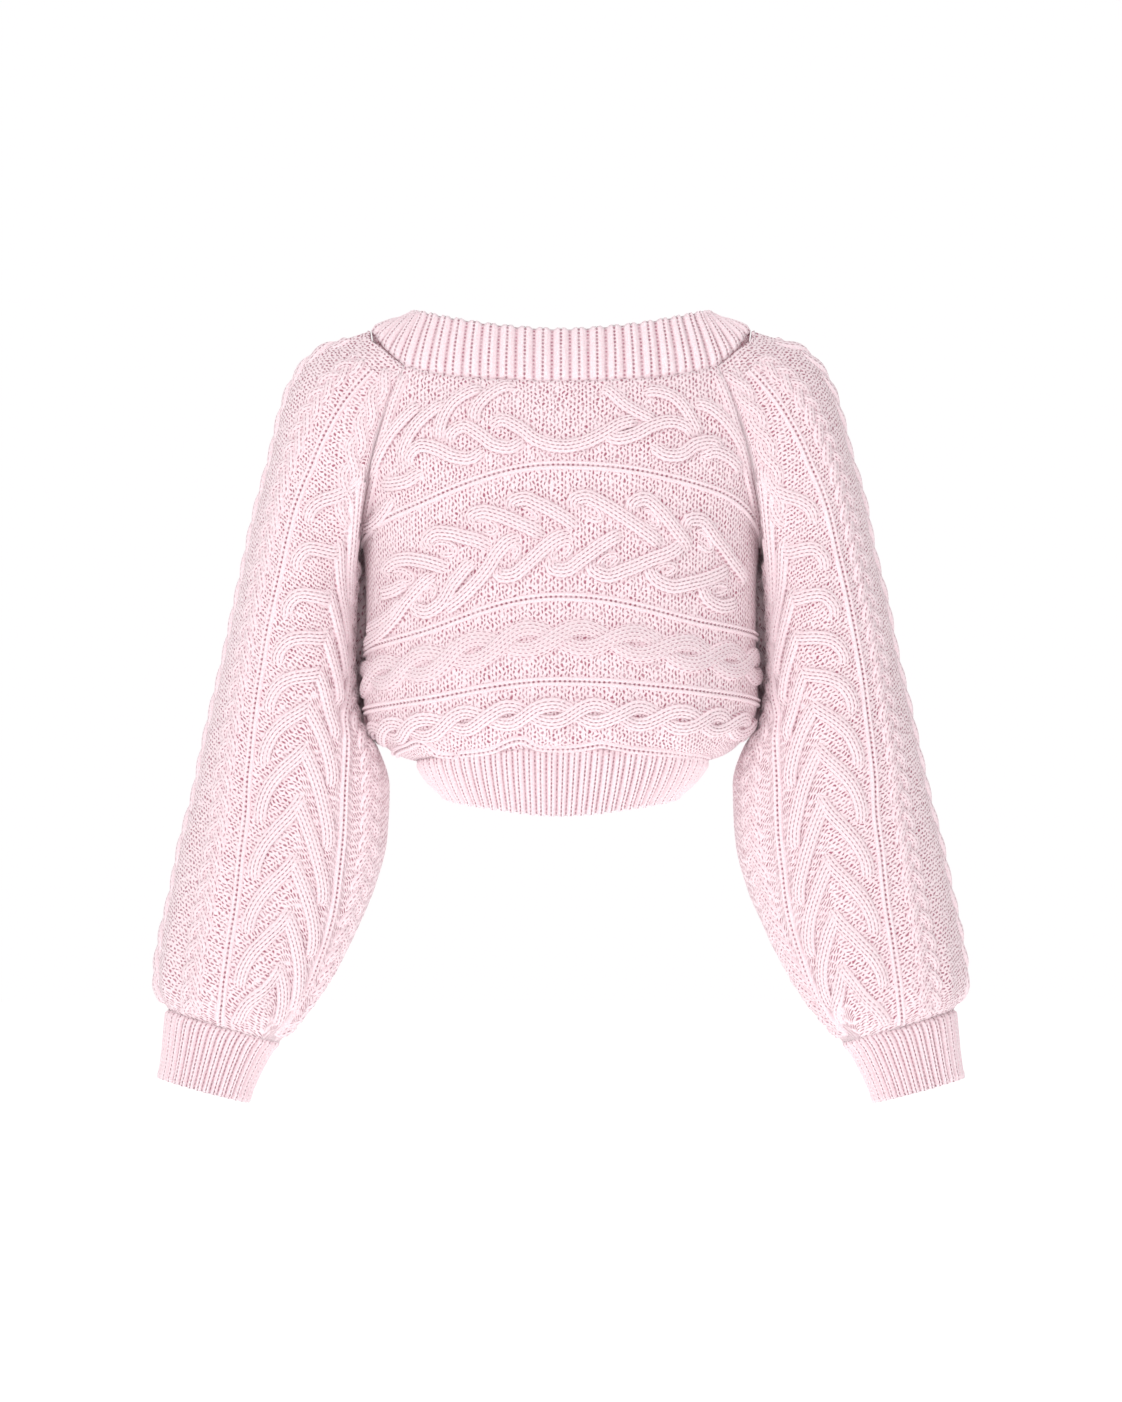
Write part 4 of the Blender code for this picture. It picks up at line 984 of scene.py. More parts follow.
@dataclass
class Builder:
    """Turns surfaces and strands into mesh objects that ride on the body.

    Args:
        materials: the yarn's material for each kind of knitting.
    """

    materials: dict[Knit, bpy.types.Material]

    def grids(
        self, name: str, sheets: Sequence[tuple[np.ndarray, np.ndarray]], knit: Knit,
        out: np.ndarray, weld: bool,
    ) -> bpy.types.Object:
        """Make one object from grids of points.

        Args:
            name: the object's name.
            sheets: for each grid its points (rows, columns, 3) and its pattern places (rows, columns, 2).
            knit: what it is knitted in.
            out: a direction out of the first grid's middle.
            weld: whether each grid's first and last columns meet.

        Returns:
            The object.
        """
        mesh = bmesh.new()
        seam: list[int] = []
        start = 0
        for points, _ in sheets:
            rows, columns = points.shape[:2]
            bmesh.ops.create_grid(mesh, x_segments=columns - 1, y_segments=rows - 1, size=1.0)
            if weld:
                seam += [start + r * columns + c for r in range(rows) for c in (0, columns - 1)]
            start += rows * columns
        data = bpy.data.meshes.new(name)
        mesh.to_mesh(data)
        mesh.free()
        places = np.concatenate([points.reshape(-1, 3) for points, _ in sheets])
        if len(places) != len(data.vertices):
            raise ValueError(f"{name}: {len(places)} points for {len(data.vertices)} vertices")
        data.vertices.foreach_set("co", (places * MM).ravel())
        pattern = np.concatenate([uv.reshape(-1, 2) for _, uv in sheets])
        corner = np.empty(len(data.loops), dtype=np.int32)
        data.loops.foreach_get("vertex_index", corner)
        data.uv_layers.new(name="stitches").data.foreach_set("uv", pattern[corner].ravel())
        data.update()
        rows, columns = sheets[0][0].shape[:2]
        middle = (rows // 2) * (columns - 1) + columns // 2
        flip = Vector(out).dot(data.polygons[middle].normal) < 0.0
        if flip or weld:
            mesh = bmesh.new()
            mesh.from_mesh(data)
            if flip:
                bmesh.ops.reverse_faces(mesh, faces=mesh.faces)
            if weld:
                mesh.verts.ensure_lookup_table()
                bmesh.ops.remove_doubles(mesh, verts=[mesh.verts[i] for i in seam], dist=0.01 * MM)
            mesh.to_mesh(data)
            mesh.free()
        data.shade_smooth()
        data.materials.append(self.materials[knit])
        piece = bpy.data.objects.new(name, data)
        bpy.context.scene.collection.objects.link(piece)
        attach(piece, "root")
        LOG.info("%s: %d faces", name, len(data.polygons))
        return piece

    @staticmethod
    def thicken(piece: bpy.types.Object) -> None:
        """Give a face of cloth its wall."""
        wall = piece.modifiers.new("wall", "SOLIDIFY")
        wall.thickness = WALL * MM
        wall.offset = -1.0
        wall.use_even_offset = False
        wall.use_rim = True

    def shell(self, name: str, surface: Surface, cell: float) -> bpy.types.Object:
        """Make the plain cloth of a surface.

        Args:
            name: the CAD node that it replaces.
            surface: its form.
            cell: size of its faces.

        Returns:
            The object.
        """
        rough = surface.base(*surface.places(40, 40))
        columns = int(np.median(arc(rough, 1)[:, -1]) / cell)
        rows = int(np.median(arc(rough, 0)[-1]) / cell)
        u, v = surface.places(columns + 1, rows + 1)
        points = surface.point(u, v)
        across, down = arc(points, 1), arc(points, 0)
        across -= across[:, columns // 2][:, None]
        pattern = np.stack((down, across) if surface.pleated else (across, down), axis=-1)
        out = surface.out(u[rows // 2, columns // 2], v[rows // 2, columns // 2])
        piece = self.grids(name + "_cloth", [(points, pattern)], Knit.GROUND, out, surface.tube)
        self.thicken(piece)
        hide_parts(name)
        return piece

    def cords(
        self, name: str, surface: Surface, strands: Sequence[Strand], knit: Knit, section: tuple | None = None
    ) -> bpy.types.Object:
        """Lay strands on a surface, as one object.

        Args:
            name: the object's name.
            surface: what they lie on.
            strands: the strands, the topmost last.
            knit: what they are knitted in.
            section: their cross-section, or none for the usual wales.

        Returns:
            The object.
        """
        sheets, first_out = [], None
        for strand in strands:
            path = strand.path
            chart = surface.chart(path)
            relief, out = surface.relief(*path.T), surface.out(*path.T)
            points = surface.on_chart(chart)
            if strand.sway is not None:
                sideways = unit(np.cross(out, unit(np.gradient(points, axis=0))))
                per = surface.per_millimetre(chart, sideways)
                chart = surface.kept_on(chart + per * strand.sway[:, None])
                points = surface.on_chart(chart)
            sideways = unit(np.cross(out, unit(np.gradient(points, axis=0))))
            length = arc(points, 0)
            ends = np.minimum(length, length[-1] - length)
            rise = np.ones(len(length))
            if strand.tucked:
                rise = np.clip(ends / (TUCK_LENGTH * strand.width), 0.0, 1.0)
                rise = rise * rise * (3.0 - 2.0 * rise)
            lift = strand.lift if strand.lift is not None else 0.0 * length
            shape = np.array(section or strand_section(strand.wales))
            narrowed = TUCK_WIDTH + (1.0 - TUCK_WIDTH) * rise
            lowered = strand.height * (TUCK_RISE + (1.0 - TUCK_RISE) * rise)
            across = (shape[:, 0] * strand.width / 2.0)[None] * narrowed[:, None]
            body = np.maximum(shape[:, 1], 0.0)[None] * lowered[:, None]
            body = body + (lift * rise - TUCK_DEPTH * (1.0 - rise))[:, None]
            body = np.where(shape[:, 1][None] < 0.0, -BURIED, body)
            per = surface.per_millimetre(chart, sideways)
            places = surface.kept_on(chart[:, None] + per[:, None] * across[..., None])
            relief = surface.relief(places[..., 0], places[..., 1]) if surface.pleated else relief[:, None]
            grid = surface.on_chart(places) + out[:, None] * (body + relief)[..., None]
            pattern = np.stack(np.broadcast_arrays(across, length[:, None]), axis=-1)
            sheets.append((grid, pattern))
            if first_out is None:
                first_out = out[len(out) // 2]
        return self.grids(name, sheets, knit, first_out, False)


def along_path(surface: Surface, points: np.ndarray, step: float = STEP) -> np.ndarray:
    """Close samples of a path given by a few places (u, v), evenly spaced on the surface."""
    return flowing(points, step, arc(surface.base(points[:, 0], points[:, 1]), 0))


def ridge(surface: Surface, path: np.ndarray, tucked: bool = False) -> Strand:
    """Double ridge with a row of holes between its crests, along a few places (u, v)."""
    return Strand(along_path(surface, path), RIDGE_WIDTH, RIDGE_RISE, tucked=tucked)


@dataclass
class Twist:
    """A rope of two strands or a plait of three, laid along a path.

    Args:
        path: a few places (u, v) along it.
        reach: how far a strand swings to each side.
        width: a strand's width.
        height: how far a strand rises.
        repeat: distance after which the strands come back to their places.
        strands: two for a rope, three for a plait.
        wales: ribs of stitches on a strand.
        phase: share of a repeat at which it starts.
    """

    path: np.ndarray
    reach: float
    width: float
    height: float
    repeat: float
    strands: int = 2
    wales: int = 3
    phase: float = 0.0

    def cords(self, surface: Surface) -> list[Strand]:
        """Strands of the rope or plait, which pass over and under each other."""
        path = along_path(surface, self.path, STEP)
        points = surface.base(path[:, 0], path[:, 1])
        length = arc(points, 0)
        found = []
        for index in range(self.strands):
            turn = 2.0 * math.pi * (length / self.repeat + index / self.strands + self.phase)
            over = np.cos(turn) if self.strands == 2 else np.sin(2.0 * turn)
            found.append(Strand(path, self.width, self.height, self.wales,
                                lift=1.5 * over - 0.3, sway=self.reach * np.sin(turn)))
        return found


@dataclass
class BodyLook:
    """Back and fronts with their ridges, ropes and arched cables.

    Args:
        builder: makes the meshes.
        back: form of the back.
        fronts: forms of the fronts, by side.
        cell: size of the plain cloth's faces.
        ridge_lines: knit lines that the ridges follow.
        cables: strands as pixels, width and height of each part of the arched cables.
        eye_turn: degrees round a small loop at its start and end.
        eye_cord: width, height and wales of a small loop.
        raglan_station: station of the cord beside each raglan.
        raglan_cord: its width, height and wales.
        back_ropes: knit line, reach, width, height, repeat, strands, wales and phase of each rope.
        front_rope: a front rope's reach, width, height, repeat, strands and wales.
        front_phases: knit line and phase of each front rope.
    """

    builder: Builder
    back: BackSurface = field(default_factory=BackSurface)
    fronts: dict[int, FrontSurface] = field(
        default_factory=lambda: {side: FrontSurface(side) for side, _ in SIDES})
    cell: float = 3.0
    ridge_lines: Row = (1.0, 2.0, 3.0)
    cables: tuple = (
        (UPPER_CABLE, 13.0, 4.4), (MIDDLE_CABLE_LOWER, 13.5, 4.4), (MIDDLE_CABLE_UPPER, 13.5, 5.2),
    )
    eye_turn: Row = (-200.0, 110.0)
    eye_cord: Row = (5.4, 2.2, 2)
    raglan_station: float = 0.972
    raglan_cord: Row = (10.0, 3.6, 3)
    back_ropes: Table = ((2.48, 9.0, 15.5, 5.2, 92.0, 2, 5, 0.1), (3.47, 7.5, 13.0, 4.2, 74.0, 2, 4, 0.45))
    front_rope: Row = (7.0, 11.0, 3.6, 58.0, 2, 3)
    front_phases: Table = ((0.45, 0.2), (1.32, 0.3), (1.68, 0.7), (2.47, 0.0), (3.45, 0.5))

    def photo_strands(self, strands: Sequence, width: float, height: float) -> list[Strand]:
        """Strands whose middles are given as pixels of the photograph."""
        found = []
        for pixels in strands:
            places = self.back.locate(pixels)
            if len(places) > 2:
                found.append(Strand(along_path(self.back, places), width, height))
        return found

    def eyes(self) -> list[Strand]:
        """Small loops of the middle cable."""
        found = []
        turn = np.radians(np.linspace(*self.eye_turn, 13))
        for x, y, long, short, tilt in CABLE_EYES:
            lean = math.radians(tilt)
            along, across = long * np.cos(turn), short * np.sin(turn)
            loop = np.stack((x + along * math.cos(lean) - across * math.sin(lean),
                             y + along * math.sin(lean) + across * math.cos(lean)), axis=1)
            found.append(Strand(along_path(self.back, self.back.locate(loop), EYE_STEP), *self.eye_cord))
        return found

    def build(self) -> None:
        """Make the pieces."""
        back = self.back
        line = np.linspace(-0.985, 0.985, 41)
        shell = self.builder.shell("back", back, self.cell)
        strands = self.eyes()
        for cable in self.cables:
            strands += self.photo_strands(*cable)
        edge = np.linspace(0.03, 0.97, 16)
        for station in (-self.raglan_station, self.raglan_station):
            strands.append(Strand(along_path(back, path_over(station, edge)), *self.raglan_cord))
        cables = self.builder.cords("back_cables", back, strands, Knit.STRAND)
        strands = []
        for position, *sizes in self.back_ropes:
            strands += Twist(path_over(line, position), *sizes).cords(back)
        ropes = self.builder.cords("back_ropes", back, strands, Knit.STRAND)
        strands = [ridge(back, back.locate(HEM_RIDGE))]
        strands += [ridge(back, path_over(line, position)) for position in self.ridge_lines]
        ridges = self.builder.cords("back_ridges", back, strands, Knit.RIDGE, RIDGE_SECTION)
        for side, word in SIDES:
            self.front(side, word)

    def front(self, side: int, word: str) -> None:
        """Make one front."""
        surface = self.fronts[side]
        name = "front_" + word
        shell = self.builder.shell(name, surface, self.cell)
        line = np.linspace(0.03, 0.97, 15)
        strands: list[Strand] = []
        for position, phase in self.front_phases:
            strands += Twist(path_over(line, position), *self.front_rope, phase).cords(surface)
        ropes = self.builder.cords(name + "_ropes", surface, strands, Knit.STRAND)
        strands = [ridge(surface, path_over(line, position)) for position in self.ridge_lines]
        ridges = self.builder.cords(name + "_ridges", surface, strands, Knit.RIDGE, RIDGE_SECTION)


@dataclass
class SleeveLook:
    """One sleeve with its ropes, plaits, ridges and staghorn cables.

    Args:
        builder: makes the meshes.
        surface: its form.
        word: left or right.
        cell: size of the plain cloth's faces.
        outer_rope: reach, width, height, repeat, strands, wales and phase of the rope on its outer line.
        outer_plait: the same of the plait between that and the ridge.
        inner_plait: the same of the plait on the inner side.
        plait_levels: levels of the two plaits.
        raglan_rope: the same sizes of the rope beside the raglan.
        beside_raglan: level and distance from the armhole of points along it.
        ridge_arm: a staghorn's arm to the ridge, as levels past its middle and distances below its tip.
        body_arm: the same of its arm to the body.
        arm_cord: width and height of an arm.
        pitch: distance between staghorns.
        first_tip: distance from the armhole to the first one's tip.
    """

    builder: Builder
    surface: SleeveSurface
    word: str
    cell: float = 3.1
    outer_rope: Row = (5.0, 10.0, 2.4, 50.0, 2, 3, 0.0)
    outer_plait: Row = (7.5, 9.0, 3.0, 52.0, 3, 3, 0.3)
    inner_plait: Row = (8.0, 9.5, 3.0, 52.0, 3, 3, 0.6)
    plait_levels: Row = (46.0, 147.0)
    raglan_rope: Row = (5.0, 10.5, 3.4, 50.0, 2, 3, 0.2)
    beside_raglan: Table = ((84.0, 4.0), (84.5, 15.0), (84.5, 28.0), (85.0, 44.0), (87.0, 64.0), (93.0, 88.0))
    ridge_arm: Table = ((3.0, -6.0), (-3.0, 8.0), (-11.0, 24.0), (-17.5, 40.0), (-21.0, 56.0), (-21.5, 72.0))
    body_arm: Table = ((-3.0, -4.0), (3.0, 10.0), (9.5, 28.0), (15.5, 48.0), (19.5, 66.0), (20.5, 82.0))
    arm_cord: Row = (12.5, 4.6)
    pitch: float = 47.0
    first_tip: float = 53.0

    def build(self) -> None:
        """Make the pieces."""
        name = "sleeve_" + self.word
        end = self.surface.v_range[1]
        shell = self.builder.shell(name, self.surface, self.cell)
        down = np.linspace(14.0, end - 3.0, 40)
        inner = np.linspace(64.0, end - 3.0, 40)
        strands = self.twist(path_over(0.0, down), self.outer_rope)
        for half in (1.0, -1.0):
            strands += self.twist(path_over(self.plait_levels[0] * half, down), self.outer_plait)
            strands += self.twist(path_over(self.plait_levels[1] * half, inner), self.inner_plait)
            strands += self.twist(np.array(self.beside_raglan) * (half, 1.0), self.raglan_rope)
            strands += self.staghorns(half, end)
        cables = self.builder.cords(name + "_cables", self.surface, strands, Knit.STRAND)
        strands = []
        for half in (1.0, -1.0):
            strands.append(ridge(self.surface, path_over(LINE_LEVELS[0] * half, down)))
            strands.append(ridge(self.surface, path_over(LINE_LEVELS[2] * half, inner), tucked=True))
        ridges = self.builder.cords(name + "_ridges", self.surface, strands, Knit.RIDGE, RIDGE_SECTION)

    def twist(self, path: np.ndarray, sizes: tuple) -> list[Strand]:
        """Strands of a rope or plait that runs down the sleeve."""
        return Twist(path, *sizes).cords(self.surface)

    @staticmethod
    def first_row(level: float) -> float:
        """Distance from the armhole at which an arm may start, past the rope beside the raglan."""
        return 4.0 + 1.4 * max(0.0, abs(level) - 84.0)

    def staghorns(self, half: float, end: float) -> list[Strand]:
        """Arms of the staghorn cable on the back half (1) or the front half (-1)."""
        found = []
        tips = np.arange(self.first_tip, end - 30.0, self.pitch)
        for tip in tips[::-1]:
            for arm in (self.body_arm, self.ridge_arm):
                rows = [((LINE_LEVELS[1] + level) * half, tip + below) for level, below in arm]
                rows = [row for row in rows if self.first_row(row[0]) < row[1] < end - 2.0]
                if len(rows) > 3:
                    found.append(Strand(along_path(self.surface, np.array(rows)), *self.arm_cord))
        return found


@dataclass
class RibLook:
    """Rib knit of the bands and cuffs.

    Args:
        builder: makes the meshes.
        section: one repeat of two by two rib, as shares of the repeat and of the rib's height.
        height: how far a rib rises.
        rise_share: share of the depth over which the ribs rise from the seam.
        row: length of a face.
        roll: height, place and half width of the rolled edge.
        chain_cord: width and height of the seam's chain.
        chain_place: its distance from the seam.
        drawn_in: flat width of a repeat, as a share of the pattern's; not used.
        stretched: flat depth, as a share of the shown one; not used.
    """

    builder: Builder
    section: Table = (
        (0.0, 0.0), (0.10, 0.05), (0.19, 0.55), (0.27, 0.95), (0.35, 1.0), (0.43, 0.85), (0.50, 0.45),
        (0.57, 0.85), (0.65, 1.0), (0.73, 0.95), (0.81, 0.55), (0.90, 0.05),
    )
    height: float = 2.9
    rise_share: float = 0.12
    row: float = 3.0
    roll: Row = (0.9, 2.2, 1.8)
    chain_cord: Row = (9.0, 3.2)
    chain_place: float = -0.7
    drawn_in: float = 0.93
    stretched: float = 1.05

    def build(self, name: str, surface: Surface, ribs: int) -> None:
        """Make one ribbed piece.

        Args:
            name: the CAD node that it replaces.
            surface: its form.
            ribs: number of repeats along it.
        """
        shares = np.array([(n + share) / ribs for n in range(ribs) for share, _ in self.section] + [1.0])
        raised = np.array([high for _ in range(ribs) for _, high in self.section] + [0.0])
        depth = arc(surface.base(*np.meshgrid((0.5,), np.linspace(0.0, 1.0, 30))), 0)[-1, 0]
        rows = int(depth / self.row)
        v = np.linspace(0.0, 1.0, rows + 1)
        u_grid, v_grid = np.meshgrid(shares, v)
        points = surface.base(u_grid, v_grid)
        out = surface.sides(surface.base, u_grid, v_grid)
        rise = self.height * raised[None] * np.clip(v / self.rise_share, 0.0, 1.0)[:, None]
        edge = self.roll[0] * np.exp(-(((1.0 - v) * depth - self.roll[1]) / self.roll[2]) ** 2)[:, None]
        points = points + out * (rise + edge)[..., None]
        pattern = np.stack(np.broadcast_arrays((shares * ribs * RIB_REPEAT)[None], arc(points, 0)), axis=-1)
        middle = out[rows // 2, len(shares) // 2]
        piece = self.builder.grids(name + "_cloth", [(points, pattern)], Knit.RIB, middle, surface.tube)
        self.builder.thicken(piece)
        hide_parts(name)
        line = np.linspace(*surface.u_range, ribs * 3 + 1)
        seam = Strand(path_over(line, self.chain_place / depth), *self.chain_cord, tucked=not surface.tube)
        chain = self.builder.cords(name + "_seam", surface, [seam], Knit.CHAIN, CHAIN_SECTION)


class Graph:
    """Node tree of one material.

    Args:
        name: the material's name.
    """

    def __init__(self, name: str) -> None:
        """Start the material with an empty tree."""
        self.material = bpy.data.materials.new(name)
        self.material.use_nodes = True
        self.tree = self.material.node_tree
        self.tree.nodes.clear()

    def add(self, kind: str, links: dict | None = None, **settings) -> bpy.types.Node:
        """Add a node.

        Args:
            kind: its type.
            links: for each input, by name or number, a node or socket to link or a value to set.
            settings: its own properties.

        Returns:
            The node.
        """
        node = self.tree.nodes.new(kind)
        for key, value in settings.items():
            setattr(node, key, value)
        for key, value in (links or {}).items():
            if isinstance(value, bpy.types.Node):
                value = value.outputs[0]
            if isinstance(value, bpy.types.NodeSocket):
                self.tree.links.new(value, node.inputs[key])
            else:
                node.inputs[key].default_value = value
        return node


@dataclass(frozen=True)
class YarnMaterials:
    """Materials of the brushed yarn, one for each kind of knitting.

    Args:
        finish: the yarn.
    """

    finish: YarnFinish = YarnFinish()

    def make(self) -> dict[Knit, bpy.types.Material]:
        """All the materials."""
        return {knit: self.knitted(knit) for knit in Knit}

    def knitted(self, knit: Knit) -> bpy.types.Material:
        """Material of one kind of knitting."""
        pattern, finish, scale = PATTERNS[knit], self.finish, self.finish.scale
        graph = Graph("brushed_" + knit.value)
        add = graph.add
        stitches = add("ShaderNodeUVMap", uv_map="stitches")
        object_place = add("ShaderNodeTexCoord").outputs["Object"]
        stray = add("ShaderNodeTexNoise", {
            "Vector": object_place, "Scale": scale(finish.wander), "Detail": 1.0})
        shift = add("ShaderNodeVectorMath", {0: stray.outputs["Color"], 1: (0.5, 0.5, 0.5)},
                    operation="SUBTRACT")
        shift = add("ShaderNodeVectorMath", {0: shift, "Scale": 2.0 * pattern.wander}, operation="SCALE")
        place = add("ShaderNodeVectorMath", {0: stitches, 1: shift}, operation="ADD")
        split = add("ShaderNodeSeparateXYZ", {0: place})
        column = add("ShaderNodeMath", {0: split.outputs[0], 1: pattern.across}, operation="DIVIDE")
        number = add("ShaderNodeMath", {0: column}, operation="ROUND")
        off = add("ShaderNodeMath", {0: column, 1: number}, operation="SUBTRACT")
        off = add("ShaderNodeMath", {0: off, 1: pattern.across / pattern.size[0]}, operation="MULTIPLY")
        row = add("ShaderNodeMath", {0: split.outputs[1], 1: pattern.along}, operation="DIVIDE")
        row = add("ShaderNodeMath", {0: number, 1: pattern.stagger, 2: row}, operation="MULTIPLY_ADD")
        near = add("ShaderNodeMath", {0: row}, operation="ROUND")
        down = add("ShaderNodeMath", {0: row, 1: near}, operation="SUBTRACT")
        down = add("ShaderNodeMath", {0: down, 1: pattern.along / pattern.size[1]}, operation="MULTIPLY")
        both = add("ShaderNodeCombineXYZ", {0: off, 1: down})
        away = add("ShaderNodeVectorMath", {0: both}, operation="LENGTH")
        hole = add("ShaderNodeMapRange", {"Value": away.outputs["Value"], "From Min": 1.25, "From Max": 0.45},
                   interpolation_type="SMOOTHSTEP")
        flecks = add("ShaderNodeTexNoise", {
            "Vector": object_place, "Scale": scale(finish.flecks), "Detail": 3.0})
        fleck = add("ShaderNodeMapRange", {"Value": flecks.outputs[0], "From Min": 0.35, "From Max": 0.7})
        yarn = add("ShaderNodeMix", {0: fleck, 6: linear(finish.light), 7: linear(finish.heather)},
                   data_type="RGBA")
        patches = add("ShaderNodeTexNoise", {
            "Vector": object_place, "Scale": scale(finish.patches), "Detail": 1.0})
        # painted shade: the holes' shade is deeper in some random patches than in others
        depth = add("ShaderNodeMapRange", {
            "Value": patches.outputs[0], "From Min": 0.35, "From Max": 0.6,
            "To Min": 0.6 * pattern.depth, "To Max": pattern.depth})
        # painted shade: how much shade colour each place gets from the holes between stitches
        shade_amount = add("ShaderNodeMath", {0: hole, 1: depth}, operation="MULTIPLY")
        # painted shade: the trough at the edge of each rib repeat is darkened in place of its self-shadowing
        if pattern.trough_shade > 0.0:
            repeat = add("ShaderNodeMath", {0: split.outputs[0], 1: RIB_REPEAT}, operation="DIVIDE")
            repeat = add("ShaderNodeMath", {0: repeat}, operation="FRACT")
            repeat = add("ShaderNodeMath", {0: repeat, 1: 0.5}, operation="SUBTRACT")
            repeat = add("ShaderNodeMath", {0: repeat}, operation="ABSOLUTE")
            trough_shade = add("ShaderNodeMapRange", {
                "Value": repeat, "From Min": 0.34, "From Max": 0.44, "To Max": pattern.trough_shade},
                interpolation_type="SMOOTHSTEP")
            shade_amount = add("ShaderNodeMath", {0: shade_amount, 1: trough_shade}, operation="MAXIMUM")
        # painted shade: the yarn's colour is mixed towards the shade colour in holes and troughs
        colour = add("ShaderNodeMix", {0: shade_amount, 6: yarn.outputs[2], 7: linear(finish.shade_colour)},
                     data_type="RGBA")
        leg = add("ShaderNodeMath", {0: down, 1: math.pi * pattern.size[1] / pattern.along},
                  operation="MULTIPLY")
        leg = add("ShaderNodeMath", {0: leg}, operation="COSINE")
        relief = add("ShaderNodeMath", {0: hole, 1: -1.0}, operation="MULTIPLY")
        relief = add("ShaderNodeMath", {0: leg, 1: -0.25, 2: relief}, operation="MULTIPLY_ADD")
        relief = add("ShaderNodeMath", {0: flecks.outputs[0], 1: 0.45, 2: relief}, operation="MULTIPLY_ADD")
        bump = add("ShaderNodeBump", {"Height": relief, "Strength": 0.8, "Distance": 0.9 * MM})
        shader = add("ShaderNodeBsdfPrincipled", {
            "Base Color": colour.outputs[2], "Roughness": finish.roughness, "Normal": bump,
            "Specular IOR Level": 0.15, "Sheen Weight": finish.sheen, "Sheen Roughness": 0.6})
        add("ShaderNodeOutputMaterial", {0: shader})
        return graph.material


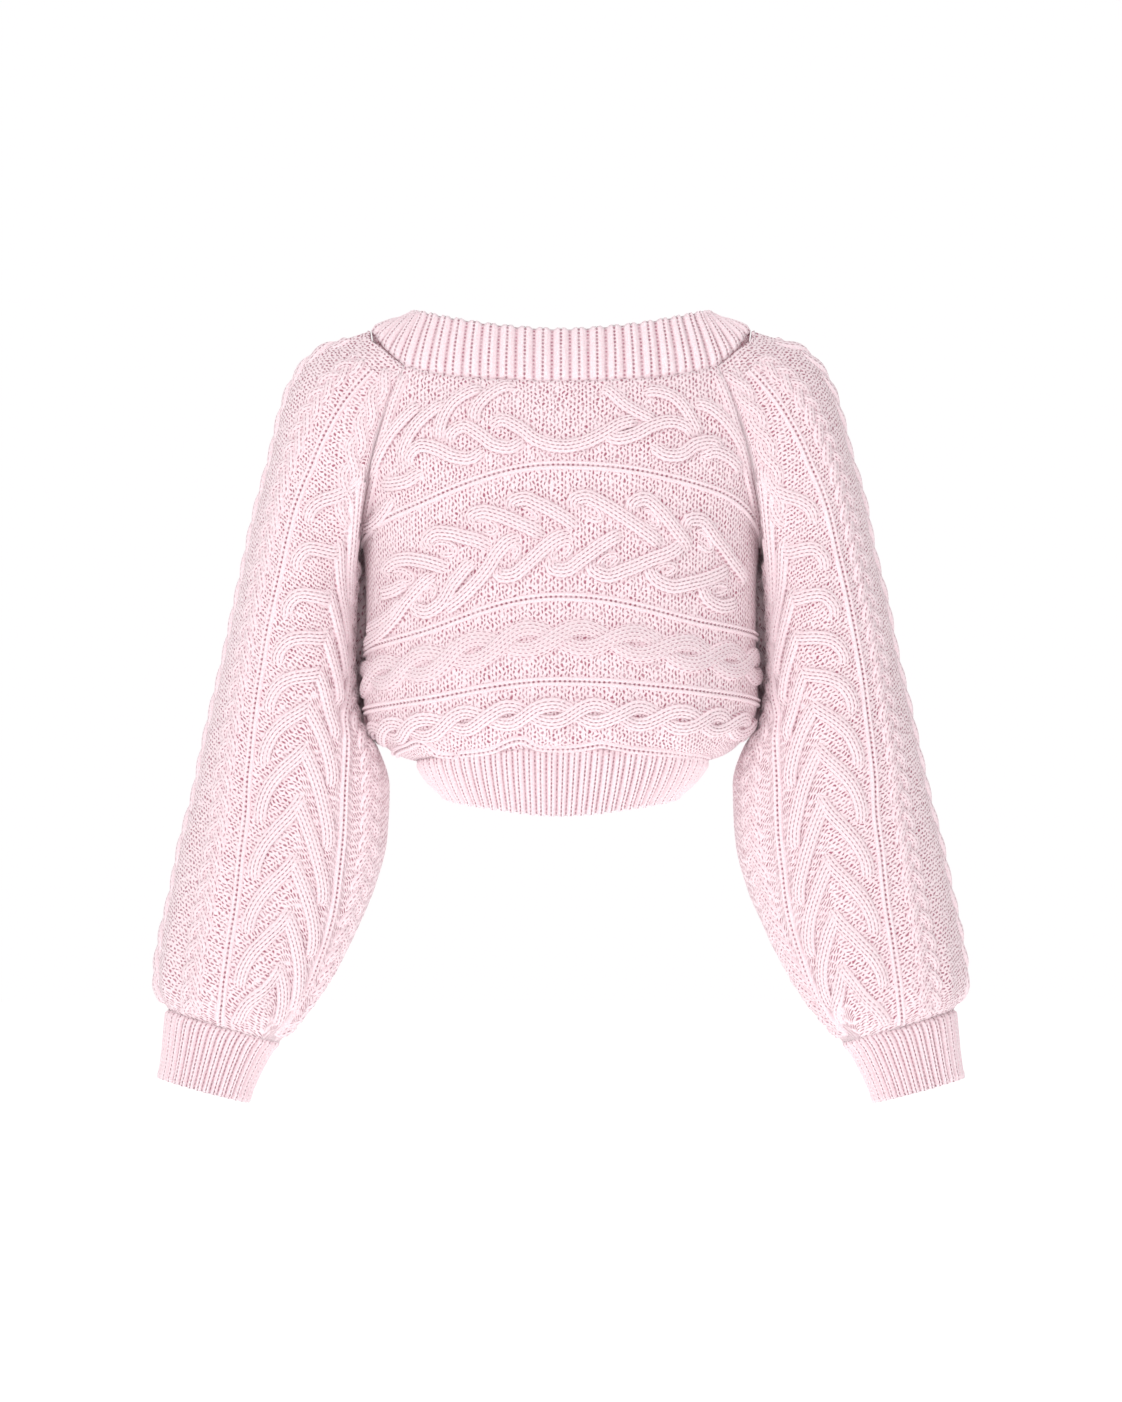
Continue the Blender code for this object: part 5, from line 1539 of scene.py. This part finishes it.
@dataclass(frozen=True)
class Studio:
    """White surroundings, soft light and the camera behind the garment.

    Args:
        floor: sRGB hex of the floor.
        floor_glow: its own light, which keeps it white at its horizon.
        floor_radius: its size in metres.
        floor_height: its height in metres.
        sky: linear colour of the surroundings.
        sky_light: their strength as a light.
        sky_seen: their strength as the camera sees them.
        middle: point that the lamps face.
        lamps: name, place, watts and size of each lamp.
    """

    floor: str = "#ffffff"
    floor_glow: float = 0.62
    floor_radius: float = 12.0
    floor_height: float = -1.05
    sky: Row = (1.0, 0.98, 0.985, 1.0)
    sky_light: float = 0.46
    sky_seen: float = 1.02
    middle: Row = (0.0, 0.0, -0.33)
    lamps: tuple = (
        ("key", (-1.6, -2.6, 1.3), 39.0, 1.6),
        ("fill", (1.9, -2.4, 0.2), 11.0, 1.8),
        ("top", (-0.2, -1.0, 2.0), 15.0, 1.6),
        ("front", (0.4, 2.6, 0.8), 26.0, 1.8),
    )

    def build(self) -> None:
        """Set it all up."""
        graph = Graph("studio_floor")
        lit = graph.add("ShaderNodeBsdfPrincipled", {
            "Base Color": linear(self.floor), "Roughness": 1.0, "Emission Color": linear(self.floor),
            "Emission Strength": self.floor_glow})
        below = graph.add("ShaderNodeNewGeometry").outputs["Backfacing"]
        clear = graph.add("ShaderNodeBsdfTransparent")
        mixed = graph.add("ShaderNodeMixShader", {0: below, 1: lit, 2: clear})
        graph.add("ShaderNodeOutputMaterial", {0: mixed})
        mesh = bmesh.new()
        bmesh.ops.create_circle(mesh, cap_ends=True, segments=96, radius=self.floor_radius)
        data = bpy.data.meshes.new("floor")
        mesh.to_mesh(data)
        mesh.free()
        data.materials.append(graph.material)
        floor = bpy.data.objects.new("floor", data)
        floor.location.z = self.floor_height
        bpy.context.scene.collection.objects.link(floor)
        world = bpy.data.worlds.new("studio")
        bpy.context.scene.world = world
        world.use_nodes = True
        background = world.node_tree.nodes["Background"]
        background.inputs["Color"].default_value = self.sky
        seen = world.node_tree.nodes.new("ShaderNodeLightPath")
        strength = world.node_tree.nodes.new("ShaderNodeMapRange")
        strength.inputs["To Min"].default_value = self.sky_light
        strength.inputs["To Max"].default_value = self.sky_seen
        world.node_tree.links.new(seen.outputs["Is Camera Ray"], strength.inputs["Value"])
        world.node_tree.links.new(strength.outputs[0], background.inputs["Strength"])
        bpy.context.scene.view_settings.view_transform = "Standard"
        for lamp in self.lamps:
            self.lamp(*lamp)
        self.camera()

    def lamp(self, name: str, place: tuple[float, float, float], power: float, size: float) -> None:
        """Add a soft lamp that faces the garment."""
        light = bpy.data.lights.new(name, "AREA")
        light.energy = power
        light.size = size
        lamp = bpy.data.objects.new(name, light)
        lamp.location = place
        aim = Vector(self.middle) - Vector(place)
        lamp.rotation_euler = aim.to_track_quat("-Z", "Y").to_euler()
        bpy.context.scene.collection.objects.link(lamp)

    @staticmethod
    def camera() -> None:
        """Look straight at the back, framed as in the photograph."""
        lens = bpy.data.cameras.new("camera")
        lens.sensor_width = 36.0
        lens.lens = 200.0
        away = IMAGE_SIZE[1] * PHOTO_SCALE * MM * lens.lens / lens.sensor_width
        camera = bpy.data.objects.new("camera", lens)
        camera.location = (0.0, -away - 0.03, (PHOTO_TOP - IMAGE_SIZE[1] / 2.0) * PHOTO_SCALE * MM)
        camera.rotation_euler = (math.pi / 2.0, 0.0, 0.0)
        bpy.context.scene.collection.objects.link(camera)
        bpy.context.scene.camera = camera


def band_seams(body: BodyLook, sleeves: dict[int, SleeveSurface]) -> dict[str, np.ndarray]:
    """Seam of each stretch of band, through the edges of what it joins."""
    levels = np.linspace(-ARMHOLE_LEVELS[0], ARMHOLE_LEVELS[0], 61)
    heads = {side: sleeve.armhole(levels[::-1]) * mirror(side) for side, sleeve in sleeves.items()}
    across = np.linspace(-1.0, 1.0, 121)
    lengths = np.linspace(0.0, 4.0, 161)
    shares = np.linspace(0.0, 1.0, 31)
    neck = np.vstack((heads[-1][::-1][:-1], body.back.base(across, 0.0 * across), heads[1][1:]))
    down = {side: np.vstack((front.base(shares, 0.0 * shares), front.base(0.0 * lengths + 1.0, lengths)[1:],
                             front.base(shares[::-1], 0.0 * shares + 4.0)[1:]))
            for side, front in body.fronts.items()}
    return {
        "band_neck": neck,
        "band_front_right": down[1],
        "band_hem": body.back.base(across[::-1], 0.0 * across + 4.0),
        "band_front_left": down[-1][::-1],
    }


def main() -> None:
    """Build the looks of the whole garment."""
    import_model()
    builder = Builder(YarnMaterials().make())
    body = BodyLook(builder)
    body.build()
    sleeves = {side: SleeveSurface(side, body.back, body.fronts[side]) for side, _ in SIDES}
    ribs = RibLook(builder)
    for side, word in SIDES:
        SleeveLook(builder, sleeves[side], word).build()
        cuff = CuffSurface(sleeves[side])
        ribs.build("cuff_" + word, cuff, int(cuff.around / CUFF_RIB))
    for name, seam in band_seams(body, sleeves).items():
        band = BandSurface(name, seam)
        ribs.build(name, band, int(round(band.length / band.repeat)))
    Studio().build()


if __name__ == "__main__":
    main()
